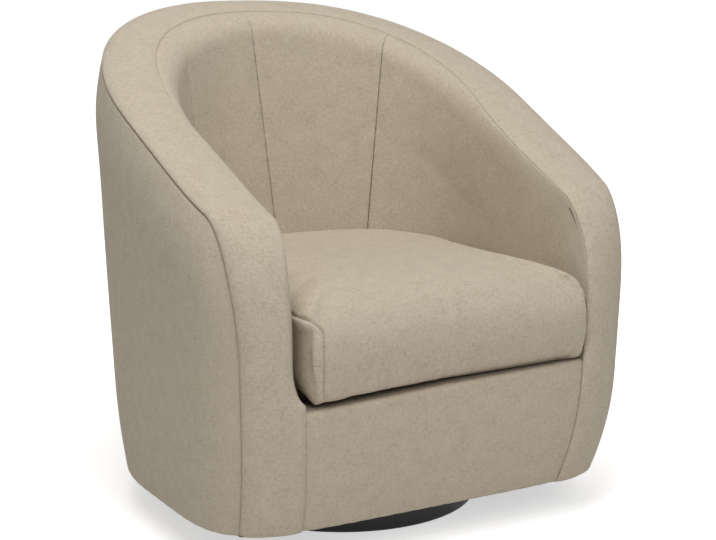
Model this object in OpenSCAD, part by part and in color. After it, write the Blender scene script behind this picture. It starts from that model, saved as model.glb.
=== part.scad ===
// Round-backed swivel tub chair: an upholstered shell with a loose seat
// cushion, turning on a ball ring over a low round base.
// Origin on the floor under the swivel axis, front towards -Y.

/* [Shell] */
// Width of the shell at arm height
shell_w = 770; // [620:1:860]
// Plan centre of the shell to the back, at arm height
back_d = 358; // [310:1:400]
// Plan centre of the shell to the arm fronts
front_d = 330; // [290:1:370]
// Plan centre of the shell behind the swivel axis
plan_y = -11; // [-40:1:20]
// Height of the shell's lower edge above the floor
shell_z = 56; // [54:1:70]
// Height of the outer seam along the arms
arm_h = 499; // [480:1:540]
// Height of the outer seam at the back
back_h = 815; // [740:1:860]
// Where the rim starts to climb, from the swivel axis to the front
climb_y = -285; // [-300:1:-240]
// Length over which the arm top turns down at the knee
knee_reach = 76; // [60:1:110]
// Height over which the arm front turns in at the knee
knee_fall = 188; // [140:1:195]
// Outer seam at the arm front, behind the front of the plan
front_in = 33; // [26:1:60]
// Height over which the lower edge is drawn in
under_h = 178; // [120:1:200]

/* [Upholstery] */
// Width of the border band over the wall, at the back
band_w = 92; // [80:1:110]
// Crown of the border band above its seams
band_crown = 16; // [10:1:24]
// How far the outside cover rounds in over the top edge
shoulder_in = 28; // [12:1:30]
// The same at the back
shoulder_back = 16; // [0:1:20]
// Height over which the outside cover rounds in
shoulder_h = 100; // [40:1:130]
// Drop of the band's inner seam below the outer one, at the back
band_drop = 20; // [0:1:30]
// The same along the arms
arm_drop = 15; // [0:1:20]
// Inner seam of the band along the arms, out from the inside arm's face
arm_seam_in = 4; // [2:1:30]
// Thickness of the padded outside cover
cover_t = 10; // [6:1:14]
// Thickness of the inside pads
pad_t = 34; // [26:1:40]
// Fullness of each inside pad between its seams
pad_puff = 7; // [0:1:10]
// Height over which the inside pads roll over to the band's inner seam
pad_roll = 40; // [24:1:50]
// Thickness of the arms at the side
arm_t = 128; // [112:1:150]
// Thickness of the back at the cushion
back_t = 135; // [118:1:150]
// How far the inner front corner of the arms stands in from the inside arms
seat_taper = 6; // [0:1:16]
// How far it stands ahead of the outer seam
arm_skew = 29; // [15:1:36]
// Height where the inside back meets the cushion
seat_z = 405; // [380:1:430]

/* [Seat] */
// Height of the deck under the cushion
deck_z = 261; // [245:1:280]
// Thickness of the deck pad
deck_t = 16; // [10:1:24]
// Thickness of the seat cushion at its edges
cushion_t = 142; // [110:1:160]
// Crown of the seat cushion in the middle
cushion_crown = 26; // [10:1:36]
// Overhang of the cushion past the front panel
cushion_over = 16; // [0:1:30]
// Play between the cushion and the inside pads
cushion_play = 2.5; // [2:0.5:10]
// Roll of the cushion's front edge
cushion_roll = 52; // [30:1:60]
// Thickness of the front panel
front_t = 22; // [14:1:30]
// Bow of the front panel
front_bow = 7; // [2:1:12]
// Width of the seat straps
strap_w = 60; // [40:1:70]
// Thickness of the seat straps
strap_t = 2; // [1.5:0.5:3]

/* [Frame] */
// Thickness of the frame timber
timber_t = 28; // [22:1:34]
// Height of the bottom rails
rail_h = 62; // [40:1:80]
// Thickness of the top rails
top_rail_t = 19; // [15:1:22]
// Height of the top rails
top_rail_h = 45; // [30:1:60]
// Depth of the seat rails
seat_rail_h = 55; // [40:1:70]
// Thickness of the mounting board
board_t = 18; // [15:1:24]
// Width of the mounting board
board_w = 300; // [240:1:330]
// Thickness of the bottom cloth
cloth_t = 1; // [0.8:0.2:2]

/* [Base and swivel] */
// Diameter of the round base
base_dia = 452; // [380:1:500]
// Thickness of the round base
base_t = 30; // [22:1:34]
// Diameter of the riser on the base
riser_dia = 240; // [180:1:260]
// Thickness of the riser
riser_t = 16; // [12:1:18]
// Diameter of the floor pads
pad_dia = 40; // [25:1:50]
// Thickness of the floor pads
pad_h = 2; // [1.5:0.5:4]
// Diameter of the swivel plates
plate_dia = 190; // [160:1:220]
// Thickness of the swivel plates
plate_t = 3; // [2.5:0.1:4]
// Radius of the ball ring
race_r = 68; // [55:1:75]
// Diameter of a ball
ball_dia = 8; // [6:0.5:9]
// Diameter of the centre pin
pin_dia = 16; // [12:0.5:20]
// Diameter of the fixing screws
screw_dia = 6; // [4:0.5:8]

/* [Hidden] */

// Roundness of the plan curves
back_round_share = 2.35;
front_square_share = 5.95;
inside_round_share = 2.3;
cushion_square_share = 9;
// Widening of the shell with height, as a share at the flare height
flare_share = 0.0405;
flare_z = arm_h - 42;
// Backward lean of the back
lean_share = 0.074;
// Draw-in of the lower edge
under_side_share = 0.028;
under_front_share = 0.126;
under_back_share = 0.034;
// Softness of the bend where the rim starts to climb
climb_soft_share = 0.046;
// Lateral seams of the inside back, as stations at the cushion and at the rim
seam_low_share = 0.40;
seam_high_share = 0.52;
// Stations between which the band widens from the back to the arms
wide_from_share = 0.47;
wide_to_share = 1.2;
// Rear seams of the outside cover, as stations
rear_seam_share = 0.62;
// Flat join between soft pieces
join = 0.3;
// Room between the timber and the curved pieces beside it
timber_gap = 2.5;
// Running play of the balls and of the centre pin
ball_play = 0.05;
pin_play = 0.05;
// Overrun of cuts
over = 1;

half_w = shell_w/2;
timber_in = cover_t + timber_gap;
arm_front_y = plan_y - front_d + front_in;
inside_w = half_w - arm_t;
inside_back = back_d - back_t;
inside_front_x = inside_w - seat_taper;
inside_front_y = arm_front_y - arm_skew;

function clamp01(v) = max(0, min(1, v));
function mix(a, b, f) = a + (b - a)*f;
function unit(v) = v/norm(v);

// Plan curve of the outside: station 0 is the back centre, 1 the side, 2 the arm front
function curve(a, w, d, p) = pow(pow(sin(a)/w, p) + pow(cos(a)/d, p), -1/p);
function arm_y(u) = mix(plan_y, arm_front_y, u - 1);
function side_x(y) = half_w*pow(1 - pow((plan_y - y)/front_d, front_square_share), 1/front_square_share);
function plan_out(u) = u > 1 ? [side_x(arm_y(u)), arm_y(u)]
    : let (r = curve(90*u, half_w, back_d, back_round_share)) [r*sin(90*u), plan_y + r*cos(90*u)];
function plan_in(u) = u > 1 ? [mix(inside_w, inside_front_x, u - 1), mix(plan_y, inside_front_y, u - 1)]
    : let (r = curve(90*u, inside_w, inside_back, inside_round_share)) [r*sin(90*u), plan_y + r*cos(90*u)];

// Flare, lean and draw-in move a plan point at height z
function flare(z) = 1 + flare_share*(z/flare_z - 1);
function under(z) = pow(clamp01(1 - (z - shell_z)/under_h), 2);
function lean(y, z) = lean_share*(z - seat_z)*clamp01(y/back_d);
function draw_y(y, z) = plan_y
    + (y - plan_y)*(1 - (y < plan_y ? under_front_share : under_back_share)*under(z));
function place(p, z) = let (y = draw_y(p.y, z)*flare(z))
    [p.x*flare(z)*(1 - under_side_share*under(z)), y + lean(y, z), z];

// Height of the outer seam at a plan depth
function climb(v) = (v + sqrt(v*v + climb_soft_share*climb_soft_share))/2;
function rim(y) = arm_h + (back_h - arm_h)*climb((y - climb_y)/(back_d - climb_y));
// How far down the knee a station lies: 0 along the arm, 1 at the arm front
function knee(u) = clamp01(1 - (plan_out(abs(u)).y - arm_front_y)/knee_reach);
function top_z(u) = let (e = knee(u)) rim(plan_out(abs(u)).y) - knee_fall*(1 - sqrt(1 - e*e));
// 0 at the back, rising to 1 along the arms
function armness(u) = let (f = clamp01((abs(u) - wide_from_share)/(wide_to_share - wide_from_share))) f*f*(3 - 2*f);
function drop(u) = band_drop*clamp01((plan_out(abs(u)).y - plan_y)/back_d) + arm_drop*armness(u)*(1 - pow(knee(u), 2));

// A point in the wall: station u (negative on the left), depth d from the outside, height z
function wall_t(u) = norm(plan_in(abs(u)) - plan_out(abs(u)));
function wall_dir(u) = unit(plan_in(abs(u)) - plan_out(abs(u)));
function wall_at(u, d, z) = let (o = place(plan_out(abs(u)), z), n = wall_dir(u), s = u < 0 ? -1 : 1)
    [s*(o.x + n.x*d), o.y + n.y*d, z];
function slant_at(u, z) = mix(wall_t(u), band_w, clamp01((z - seat_z)/(top_z(u) - seat_z)));
// Depth of the band's inner seam: further in along the arms, and over the whole wall at the arm front
function seam_at(u) = mix(mix(band_w, arm_t - arm_seam_in, armness(u)), wall_t(2), pow(knee(u), 2));

// Closed skin through rings; each ring is an outer row and an inner row of the same count
function ring(a, b) = concat(a, [for (j = [len(b) - 1:-1:0]) b[j]]);
module skin(rings) {
    m = len(rings);
    k = len(rings[0]);
    n = k/2;
    sides = [for (i = [0:m - 2], j = [0:k - 1])
        let (p = i*k + j, q = i*k + (j + 1)%k, r = (i + 1)*k + (j + 1)%k, s = (i + 1)*k + j)
        each [[p, r, q], [p, s, r]]];
    first = [for (j = [0:n - 2]) each [[j, k - 2 - j, k - 1 - j], [j, j + 1, k - 2 - j]]];
    last = [for (f = first) [f[0], f[2], f[1]] + (m - 1)*k*[1, 1, 1]];
    polyhedron(points = [for (r = rings) each r], faces = concat(sides, first, last));
}

// Stations from a to b, closer together where the knee turns
function stations(a, b, n) = [for (i = [0:n]) mix(a, b, i/n)];
function knee_u(f) = 1 + (arm_front_y + knee_reach*(1 - sin(f)) - plan_y)/(arm_front_y - plan_y);
knee_steps = 8;
knee_stations = [for (i = [0:knee_steps]) knee_u(90*i/knee_steps)];
levels = 10;
// Half of the cover's levels lie in its upper fifth
low_share = 0.5;
cover_bend_share = 0.8;

// The outside cover rounds in towards the outer seam; the rounding fades out down the knee
function shoulder(u) = let (y = plan_out(abs(u)).y)
    mix(shoulder_in, shoulder_back, clamp01((y - climb_y)/back_d))*sqrt(clamp01((y - arm_front_y)/knee_reach));
function round_in(u, z) = shoulder(u)*pow(clamp01((z - top_z(u) + shoulder_h)/shoulder_h), 2.2);

// A block of the wall between two depths and two heights
module wall_block(us, d0, d1, z0, z1, n) {
    skin([for (u = us)
        ring([for (j = [0:n]) let (z = mix(z0, z1, j/n)) wall_at(u, d0, z)],
             [for (j = [0:n]) let (z = mix(z0, z1, j/n)) wall_at(u, d1, z)])]);
}

// The outside cover: it follows the round of the shoulder and ends below the seam
function cover_z(u, f, top) = mix(shell_z, top, f < low_share ? f*cover_bend_share/low_share
    : mix(cover_bend_share, 1, (f - low_share)/(1 - low_share)));
module rim_block(us) {
    skin([for (u = us) let (z1 = top_z(u) - join)
        ring([for (j = [0:levels]) let (z = cover_z(u, j/levels, z1)) wall_at(u, round_in(u, z), z)],
             [for (j = [0:levels]) let (z = cover_z(u, j/levels, z1 - drop(u)*cover_t/(seam_at(u) - shoulder(u))))
                 wall_at(u, cover_t + round_in(u, z), z)])]);
}

// Upholstery
module outside(us) {
    color("#a39580") rim_block(us);
}
back_steps = 8;
arm_steps = 13;
arm_run = stations(rear_seam_share, knee_stations[0], arm_steps);
side_stations = concat(arm_run, [for (i = [1:knee_steps]) knee_stations[i]]);
module outside_right() {
    outside(side_stations);
}
module outside_left() {
    mirror([1, 0, 0]) outside_right();
}
module outside_back() {
    gap_share = join/half_w;
    outside(stations(gap_share - rear_seam_share, rear_seam_share - gap_share, 2*back_steps));
}

// Border band: base point at a share of its width, then its crown outwards
band_steps = 8;
band_edge_share = 0.12;
function crown_at(s) = mix(band_edge_share, 1, pow(1 - pow(abs(2*s - 1), 2.4), 0.6));
function forward(z) = let (v = wall_at(2, wall_t(2), z) - wall_at(2, 0, z)) unit([-v.y, v.x, 0]);
function band_ring(bases, n) = ring(
    [for (i = [0:band_steps]) bases[i] + n*(join + band_crown*crown_at(i/band_steps))],
    [for (b = bases) b + n*join]);
function top_ring(u, f) = let (z = top_z(u), n = unit([0, 0, knee_reach*cos(f)] + forward(z)*knee_fall*sin(f)))
    band_ring([for (i = [0:band_steps]) let (s = i/band_steps)
        wall_at(u, mix(shoulder(u), seam_at(u), s), z - drop(u)*s)], n);
function leg_ring(z) = band_ring([for (i = [0:band_steps]) wall_at(2, wall_t(2)*i/band_steps, z)], forward(z));
leg_steps = levels/2;
function flip(r) = [for (p = r) [-p.x, p.y, p.z]];
half_rings = concat([for (u = stations(0, rear_seam_share, back_steps)) top_ring(u, 0)],
    [for (i = [1:arm_steps]) top_ring(arm_run[i], 0)],
    [for (i = [1:knee_steps]) top_ring(knee_stations[i], 90*i/knee_steps)],
    [for (i = [leg_steps:-1:0]) leg_ring(cover_z(2, i/levels, top_z(2) - join))]);
module border_band() {
    m = len(half_rings);
    color("#c9bca6") skin(concat([for (i = [m - 1:-1:1]) flip(half_rings[i])], half_rings));
}

// Inside pads, full between their seams; a pad runs between two stations at the foot and two at the rim
pad_foot = deck_z + join;
pad_levels = 6;
roll_steps = 6;
// How far each level has turned over: flat up to the roll, then a quarter turn to the seam
pad_turns = concat([for (j = [0:pad_levels - 1]) 0], [for (j = [0:roll_steps]) 90*j/roll_steps]);
function pad_u(lo, hi, f, v) = mix(mix(lo[0], lo[1], v), mix(hi[0], hi[1], v), f);
function fullness(f) = pow(1 - pow(abs(2*f - 1), 4), 0.5);
// Height of a level, as a share of the pad's height at that place; a low pad has a smaller roll
roll_most_share = 0.8;
function level_at(i, h) = let (r = min(pad_roll, h*roll_most_share))
    (i < pad_levels ? (h - r)*i/pad_levels : h - r*(1 - sin(pad_turns[i])))/h;
module pad(lo, hi, fs, open_end) {
    n = len(pad_turns) - 1;
    color("#b3a48d") skin([for (f = fs)
        let (ut = pad_u(lo, hi, f, 1), zt = top_z(ut) - drop(ut) - 2*join, h = zt - pad_foot)
        ring([for (j = [0:n]) let (v = level_at(j, h), z = mix(pad_foot, zt, v), u = pad_u(lo, hi, f, v))
                wall_at(u, slant_at(u, z) - pad_t, z)],
             [for (j = [0:n]) let (v = level_at(j, h), z = mix(pad_foot, zt, v), u = pad_u(lo, hi, f, v),
                 e = open_end && f > 0.5 ? 1 : fullness(f), full = mix(seam_at(u), wall_t(u), cos(pad_turns[j])))
                wall_at(u, full - pad_puff*(1 - e*pow(sin(180*mix(0.12, 0.88, v)), 0.5)), z)])]);
}
pad_gap_share = join/inside_w;
even = stations(0, 1, 10);
arm_shares = concat(stations(0, (knee_stations[0] - seam_high_share)/(2 - seam_high_share), 12),
    [for (i = [1:knee_steps]) (knee_stations[i] - seam_high_share)/(2 - seam_high_share)]);
module inside_back_right() {
    pad([pad_gap_share, pad_gap_share], [seam_low_share - pad_gap_share, seam_high_share - pad_gap_share], even, false);
}
module inside_back_left() {
    mirror([1, 0, 0]) inside_back_right();
}
module inside_arm_right() {
    pad([seam_low_share + pad_gap_share, seam_high_share + pad_gap_share], [2, 2], arm_shares, true);
}
module inside_arm_left() {
    mirror([1, 0, 0]) inside_arm_right();
}

// Front panel under the cushion, between the arm fronts
front_steps = 16;
function end_at(z) = wall_at(2, wall_t(2), z);
function panel_at(f, d, z) = let (e = end_at(z))
    [f*(e.x - 2*join), e.y - front_bow*pow(1 - pow(abs(f), 6), 0.5) + d, z];
module front_panel() {
    top_r = front_t/4;
    color("#b8aa93") skin([for (i = [0:front_steps]) let (f = 1 - 2*i/front_steps)
        ring([for (j = [0:levels]) let (z = mix(shell_z, deck_z, j/levels),
                 e = max(0, z - (deck_z - top_r))) panel_at(f, top_r - sqrt(top_r*top_r - e*e), z)],
             [for (j = [0:levels]) panel_at(f, front_t, mix(shell_z, deck_z, j/levels))])]);
}

// Seat cushion: closed rings from the middle of its underside to the middle of its top
cush_w = inside_front_x - cushion_play;
cush_back = inside_back - cushion_play - pad_puff;
cush_front = plan_y - inside_front_y + cushion_over;
cush_z = deck_z + 2*join;
cush_back_steps = 14;
// Angles round the front of the cushion, closer together at its corners
cush_turn_share = [0.12, 0.24, 0.34, 0.42, 0.48, 0.53, 0.57, 0.6, 0.63, 0.66, 0.7, 0.76, 0.86, 1];
cush_side = concat([for (i = [0:cush_back_steps]) 90*i/cush_back_steps], [for (g = cush_turn_share) 90 + 90*g]);
cush_angles = concat(cush_side, [for (i = [len(cush_side) - 2:-1:1]) 360 - cush_side[i]]);
cush_points = len(cush_angles);
function cush_p(a) = cos(a) > 0 ? inside_round_share : cushion_square_share;
function cush_d(a) = cos(a) > 0 ? cush_back : cush_front;
function cush_plan(a) = let (p = cush_p(a),
    r = pow(pow(abs(sin(a))/cush_w, p) + pow(abs(cos(a))/cush_d(a), p), -1/p)) [r*sin(a), r*cos(a)];
function sign_of(v) = v < 0 ? -1 : 1;
function cush_n(a) = let (q = cush_plan(a), p = cush_p(a)) unit(
    [sign_of(q.x)*pow(abs(q.x)/cush_w, p - 1)/cush_w, sign_of(q.y)*pow(abs(q.y)/cush_d(a), p - 1)/cush_d(a)]);
function frontness(a) = let (n = cush_n(a)) n.y < 0 ? n.y*n.y : 0;
// Each row: inset share of the side roll, inset share of the front roll, height share of the thickness
cush_rows_share = [[1.6, 0.62, 0], [0.7, 0.30, 0.015], [0.2, 0.12, 0.08], [0, 0.02, 0.2], [0.05, 0, 0.36],
    [0.12, 0.02, 0.52], [0.1, 0.09, 0.66], [0.05, 0.22, 0.79], [0, 0.40, 0.9], [0.25, 0.66, 0.975],
    [0.8, 1, 1.02]];
side_roll = cushion_roll/4;
// The cushion's back leans with the inside back
function cush_ring(row, rise, shrink) = let (z = cush_z + cushion_t*row[2] + rise) [for (a = cush_angles)
    let (q = (cush_plan(a) - cush_n(a)*mix(side_roll*row[0], cushion_roll*row[1], frontness(a)))*shrink,
         y = q.y + plan_y) [q.x, y + lean(y, z), z]];
crown_rows_share = [[0.86, 0.34], [0.68, 0.62], [0.48, 0.84], [0.26, 0.96]];
module seat_cushion() {
    last_row = cush_rows_share[len(cush_rows_share) - 1];
    rings = concat([for (r = cush_rows_share) cush_ring(r, 0, 1)],
        [for (c = crown_rows_share) cush_ring(last_row, cushion_crown*c[1], c[0])]);
    m = len(rings);
    k = cush_points;
    sides = [for (i = [0:m - 2], j = [0:k - 1])
        let (p = i*k + j, q = i*k + (j + 1)%k, r = (i + 1)*k + (j + 1)%k, s = (i + 1)*k + j)
        each [[p, q, r], [p, r, s]]];
    under_cap = [for (j = [0:k - 1]) [m*k, (j + 1)%k, j]];
    top_cap = [for (j = [0:k - 1]) [m*k + 1, (m - 1)*k + j, (m - 1)*k + (j + 1)%k]];
    middle_y = plan_y + (cush_back - cush_front)/8;
    color("#bdae97") polyhedron(points = concat([for (r = rings) each r],
        [[0, middle_y, cush_z], [0, middle_y, cush_z + cushion_t*last_row[2] + cushion_crown]]),
        faces = concat(sides, under_cap, top_cap));
}

// Frame
rail_top = shell_z + rail_h;
low_z = shell_z + cloth_t + 2*join;
frame_end_share = 1.95;
module bottom_rail_right() {
    color("#c49a6c") wall_block(stations(rear_seam_share, frame_end_share, 12), timber_in, timber_in + timber_t,
        low_z, rail_top, 4);
}
module bottom_rail_left() {
    mirror([1, 0, 0]) bottom_rail_right();
}
module bottom_rail_back() {
    s = rear_seam_share - pad_gap_share;
    color("#c49a6c") wall_block(stations(-s, s, 12), timber_in, timber_in + timber_t, low_z, rail_top, 4);
}
module top_rail(us) {
    color("#c49a6c") skin([for (u = us) let (z1 = top_z(u) - drop(u) - 3*join, z0 = z1 - top_rail_h)
        let (d = timber_in + shoulder(u))
        ring([wall_at(u, d, z0), wall_at(u, d, z1)], [wall_at(u, d + top_rail_t, z0), wall_at(u, d + top_rail_t, z1)])]);
}
rail_end_share = knee_stations[3];
module top_rail_right() {
    top_rail(stations(rear_seam_share, rail_end_share, 14));
}
module top_rail_left() {
    mirror([1, 0, 0]) top_rail_right();
}
module top_rail_back() {
    s = rear_seam_share - pad_gap_share;
    top_rail(stations(-s, s, 14));
}
post_w_share = 0.10;
post_foot = rail_top + join;
seat_rail_z = deck_z - deck_t - join - 2*strap_t;
seat_rail_low = seat_rail_z - seat_rail_h;
function post_d(u) = timber_in + shoulder(u)/2;
module post(u) {
    color("#c49a6c") skin([for (v = [u, u + post_w_share])
        let (z1 = top_z(v) - drop(v) - top_rail_h - 2*timber_gap,
             zs = [post_foot, (post_foot + seat_rail_low)/2, seat_rail_low, seat_rail_z, (seat_rail_z + z1)/2, z1])
        ring([for (z = zs) wall_at(v, post_d(v), z)], [for (z = zs) wall_at(v, post_d(v) + timber_t, z)])]);
}
front_post_share = 1.84;
side_post_share = 1.16;
back_post_shares = [0.20, 0.62];
module both() {
    children();
    mirror([1, 0, 0]) children();
}
module front_posts() {
    both() post(front_post_share);
}
module side_posts() {
    both() post(side_post_share);
}
module back_posts() {
    both() for (u = back_post_shares) post(u);
}

// Seat rails screwed to the posts' inner faces, with the straps over them
seat_rail_d = timber_in + shoulder_in/2 + timber_t + join;
module seat_rail(us) {
    color("#c49a6c") skin([for (u = us) let (d = post_d(u) + timber_t + join)
        ring([wall_at(u, d, seat_rail_low), wall_at(u, d, seat_rail_z)],
             [wall_at(u, d + timber_t, seat_rail_low), wall_at(u, d + timber_t, seat_rail_z)])]);
}
side_rail_shares = concat(stations(rear_seam_share, rear_seam_share + post_w_share, 1),
    stations(0.84, 1.06, 2), stations(side_post_share, side_post_share + post_w_share, 1),
    stations(1.45, 1.64, 1), stations(front_post_share, front_post_share + post_w_share, 1));
module seat_rail_right() {
    seat_rail(side_rail_shares);
}
module seat_rail_left() {
    mirror([1, 0, 0]) seat_rail_right();
}
module seat_rail_back() {
    s = rear_seam_share - pad_gap_share;
    half = [for (u = concat([0, back_post_shares[0]/2, back_post_shares[0], back_post_shares[0] + post_w_share],
        stations(0.4, s, 2))) u];
    seat_rail(concat([for (i = [len(half) - 1:-1:1]) -half[i]], half));
}

// Front rail behind the front panel, from arm to arm
front_rail_y = end_at(shell_z).y + front_t + 2*join;
module front_rail() {
    color("#c49a6c") translate([-inside_front_x + timber_t/2, front_rail_y, low_z])
        cube([2*inside_front_x - timber_t, timber_t, seat_rail_z - low_z]);
}
block_leg = 70;
module corner_blocks() {
    color("#b98f60") both()
        translate([inside_front_x - timber_t/2 - join, front_rail_y + timber_t + join, rail_top])
            linear_extrude(timber_t) polygon([[0, 0], [-block_leg, 0], [0, block_leg]]);
}

// Swivel stack, from the floor up
disc_z = pad_h;
riser_z = disc_z + base_t;
lower_z = riser_z + riser_t;
groove = ball_dia/5;
ball_z = lower_z + plate_t - groove + ball_dia/2 + ball_play;
upper_z = ball_z + ball_dia/2 + ball_play - groove;
board_z = upper_z + plate_t;
cross_z = board_z + board_t;
edge_r = 4;

pad_ring = base_dia/2 - pad_dia;
pad_count = 6;
module floor_pads() {
    color("#20201f") {
        cylinder(d = pad_dia, h = pad_h, $fn = 48);
        for (i = [0:pad_count - 1]) rotate(360*i/pad_count) translate([pad_ring, 0, 0])
            cylinder(d = pad_dia, h = pad_h, $fn = 48);
    }
}
module rounded_disc(d, h, r) {
    rotate_extrude($fn = 128) {
        square([d/2 - r, h]);
        translate([0, r]) square([d/2, h - 2*r]);
        for (z = [r, h - r]) translate([d/2 - r, z]) circle(r, $fn = 32);
    }
}
module screw_ring(r, n, start) {
    for (i = [0:n - 1]) rotate(start + 360*i/n) translate([r, 0, 0]) children();
}
hole_play = 0.2;
head_h = 2;
riser_screw_r = riser_dia/2 - 2*screw_dia;
module base_disc() {
    color("#1b1a1a") translate([0, 0, disc_z]) difference() {
        rounded_disc(base_dia, base_t, edge_r);
        screw_ring(riser_screw_r, 4, 0) translate([0, 0, base_t/2])
            cylinder(d = screw_dia + 2*hole_play, h = base_t, $fn = 32);
    }
}
module base_riser() {
    color("#242322") translate([0, 0, riser_z]) difference() {
        cylinder(d = riser_dia, h = riser_t, $fn = 128);
        screw_ring(riser_screw_r, 4, 0) {
            translate([0, 0, -over]) cylinder(d = screw_dia + 2*hole_play, h = riser_t + 2*over, $fn = 32);
            translate([0, 0, riser_t - head_h - hole_play])
                cylinder(d = 2*screw_dia + 2*hole_play, h = riser_t, $fn = 32);
        }
        screw_ring(plate_screw_r, 4, 45) translate([0, 0, riser_t/3])
            cylinder(d = screw_dia + 2*hole_play, h = riser_t, $fn = 32);
        translate([0, 0, riser_t/2]) cylinder(d = 2*pin_dia + 2*over, h = riser_t, $fn = 64);
    }
}
module riser_screws() {
    color("#8a8c8e") screw_ring(riser_screw_r, 4, 0) {
        translate([0, 0, riser_z - base_t/3]) cylinder(d = screw_dia, h = base_t/3 + riser_t - head_h, $fn = 32);
        translate([0, 0, lower_z - head_h - hole_play]) cylinder(d = 2*screw_dia, h = head_h, $fn = 32);
    }
}

plate_screw_r = (plate_dia/2 + race_r + ball_dia/2)/2;
module race_cut() {
    rotate_extrude($fn = 96) translate([race_r, 0]) circle(ball_dia/2 + ball_play, $fn = 48);
}
module lower_plate() {
    color("#7d8083") difference() {
        translate([0, 0, lower_z]) cylinder(d = plate_dia, h = plate_t, $fn = 128);
        translate([0, 0, ball_z]) race_cut();
        translate([0, 0, lower_z - over]) cylinder(d = pin_dia + 2*hole_play, h = plate_t + 2*over, $fn = 64);
        screw_ring(plate_screw_r, 4, 45) translate([0, 0, lower_z - over])
            cylinder(d = screw_dia + 2*hole_play, h = plate_t + 2*over, $fn = 32);
    }
}
module lower_screws() {
    color("#8a8c8e") screw_ring(plate_screw_r, 4, 45) {
        translate([0, 0, lower_z - riser_t/2]) cylinder(d = screw_dia, h = riser_t/2 + plate_t, $fn = 32);
        translate([0, 0, lower_z + plate_t]) cylinder(d = 2*screw_dia - over, h = head_h, $fn = 32);
    }
}
// The centre pin holds the two plates together; its head sits under the lower plate
pin_head_h = 3;
module centre_pin() {
    color("#9a9c9e") {
        translate([0, 0, lower_z - pin_head_h]) cylinder(d = 2*pin_dia, h = pin_head_h, $fn = 64);
        translate([0, 0, lower_z - pin_head_h])
            cylinder(d = pin_dia, h = board_z + 2*pin_play - lower_z + pin_head_h, $fn = 64);
        translate([0, 0, board_z + 2*pin_play]) cylinder(d = 1.5*pin_dia, h = pin_head_h, $fn = 64);
    }
}
cage_t = 2;
cage_half_w = ball_dia;
ball_count = 24;
module ball_cage() {
    color("#b59a4a") translate([0, 0, ball_z - cage_t/2]) difference() {
        cylinder(r = race_r + cage_half_w, h = cage_t, $fn = 128);
        translate([0, 0, -over]) cylinder(r = race_r - cage_half_w, h = cage_t + 2*over, $fn = 128);
        screw_ring(race_r, ball_count, 0) translate([0, 0, -over])
            cylinder(d = ball_dia + 2*hole_play, h = cage_t + 2*over, $fn = 32);
    }
}
module bearing_balls() {
    color("#c8cacc") screw_ring(race_r, ball_count, 0) translate([0, 0, ball_z]) sphere(d = ball_dia, $fn = 32);
}
module upper_plate() {
    color("#7d8083") difference() {
        translate([0, 0, upper_z]) cylinder(d = plate_dia, h = plate_t, $fn = 128);
        translate([0, 0, ball_z]) race_cut();
        translate([0, 0, upper_z - over]) cylinder(d = pin_dia + 2*pin_play, h = plate_t + 2*over, $fn = 64);
        screw_ring(plate_screw_r, 4, 0) translate([0, 0, upper_z - over])
            cylinder(d = screw_dia + 2*hole_play, h = plate_t + 2*over, $fn = 32);
    }
}
nut_h = 5;
module plate_bolts() {
    color("#8a8c8e") screw_ring(plate_screw_r, 4, 0) {
        translate([0, 0, upper_z]) cylinder(d = screw_dia, h = plate_t + board_t, $fn = 32);
        translate([0, 0, upper_z - head_h]) cylinder(d = 2*screw_dia - over, h = head_h, $fn = 32);
    }
}
module board_nuts() {
    color("#a8aaac") screw_ring(plate_screw_r, 4, 0) translate([0, 0, cross_z]) difference() {
        cylinder(d = 3*screw_dia, h = nut_h, $fn = 32);
        translate([0, 0, -over]) cylinder(d = screw_dia + 2*hole_play, h = nut_h + 2*over, $fn = 32);
    }
}
module mounting_board() {
    color("#c8a070") translate([0, 0, board_z]) difference() {
        translate([-board_w/2, -board_w/2, 0]) cube([board_w, board_w, board_t]);
        translate([0, 0, -over]) cylinder(d = 2*pin_dia, h = board_t + 2*over, $fn = 64);
        screw_ring(plate_screw_r, 4, 0) translate([0, 0, -over])
            cylinder(d = screw_dia + 2*hole_play, h = board_t + 2*over, $fn = 32);
    }
}
cross_x = board_w/2 - timber_t;
cross_front = front_rail_y + timber_t;
cross_back = wall_at(asin((board_w/2 + timber_t)/half_w)/90, timber_in + timber_t, low_z).y - timber_gap;
module cross_rails() {
    color("#c49a6c") both() translate([cross_x, cross_front, cross_z])
        cube([timber_t, cross_back - cross_front, rail_top - cross_z]);
}

// Straps across and along, woven flat over the seat rails
function strap_x(y) = (y < plan_y ? side_x(y)
    : half_w*pow(1 - pow((y - plan_y)/back_d, back_round_share), 1/back_round_share)) - seat_rail_d - timber_t/2;
function strap_y(x) = plan_y + back_d*pow(1 - pow(x/half_w, back_round_share), 1/back_round_share)
    - seat_rail_d - timber_t/2;
strap_pitch = 95;
strap_first = front_rail_y + 2*timber_t + strap_w/2;
strap_count = 5;
module seat_straps() {
    color("#3a3836") {
        for (i = [0:strap_count - 1]) let (y = strap_first + i*strap_pitch,
            x = min(strap_x(y - strap_w/2), strap_x(y + strap_w/2)))
            translate([-x, y - strap_w/2, seat_rail_z]) cube([2*x, strap_w, strap_t]);
        for (i = [-2:2]) let (x = i*strap_pitch, y = strap_y(abs(x) + strap_w/2))
            translate([x - strap_w/2, front_rail_y, seat_rail_z + strap_t])
                cube([strap_w, y - front_rail_y, strap_t]);
    }
}
deck_front = front_rail_y + join;
deck_stations = concat(stations(0, 1, 12), stations(1.1, 1.9, 6));
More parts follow.
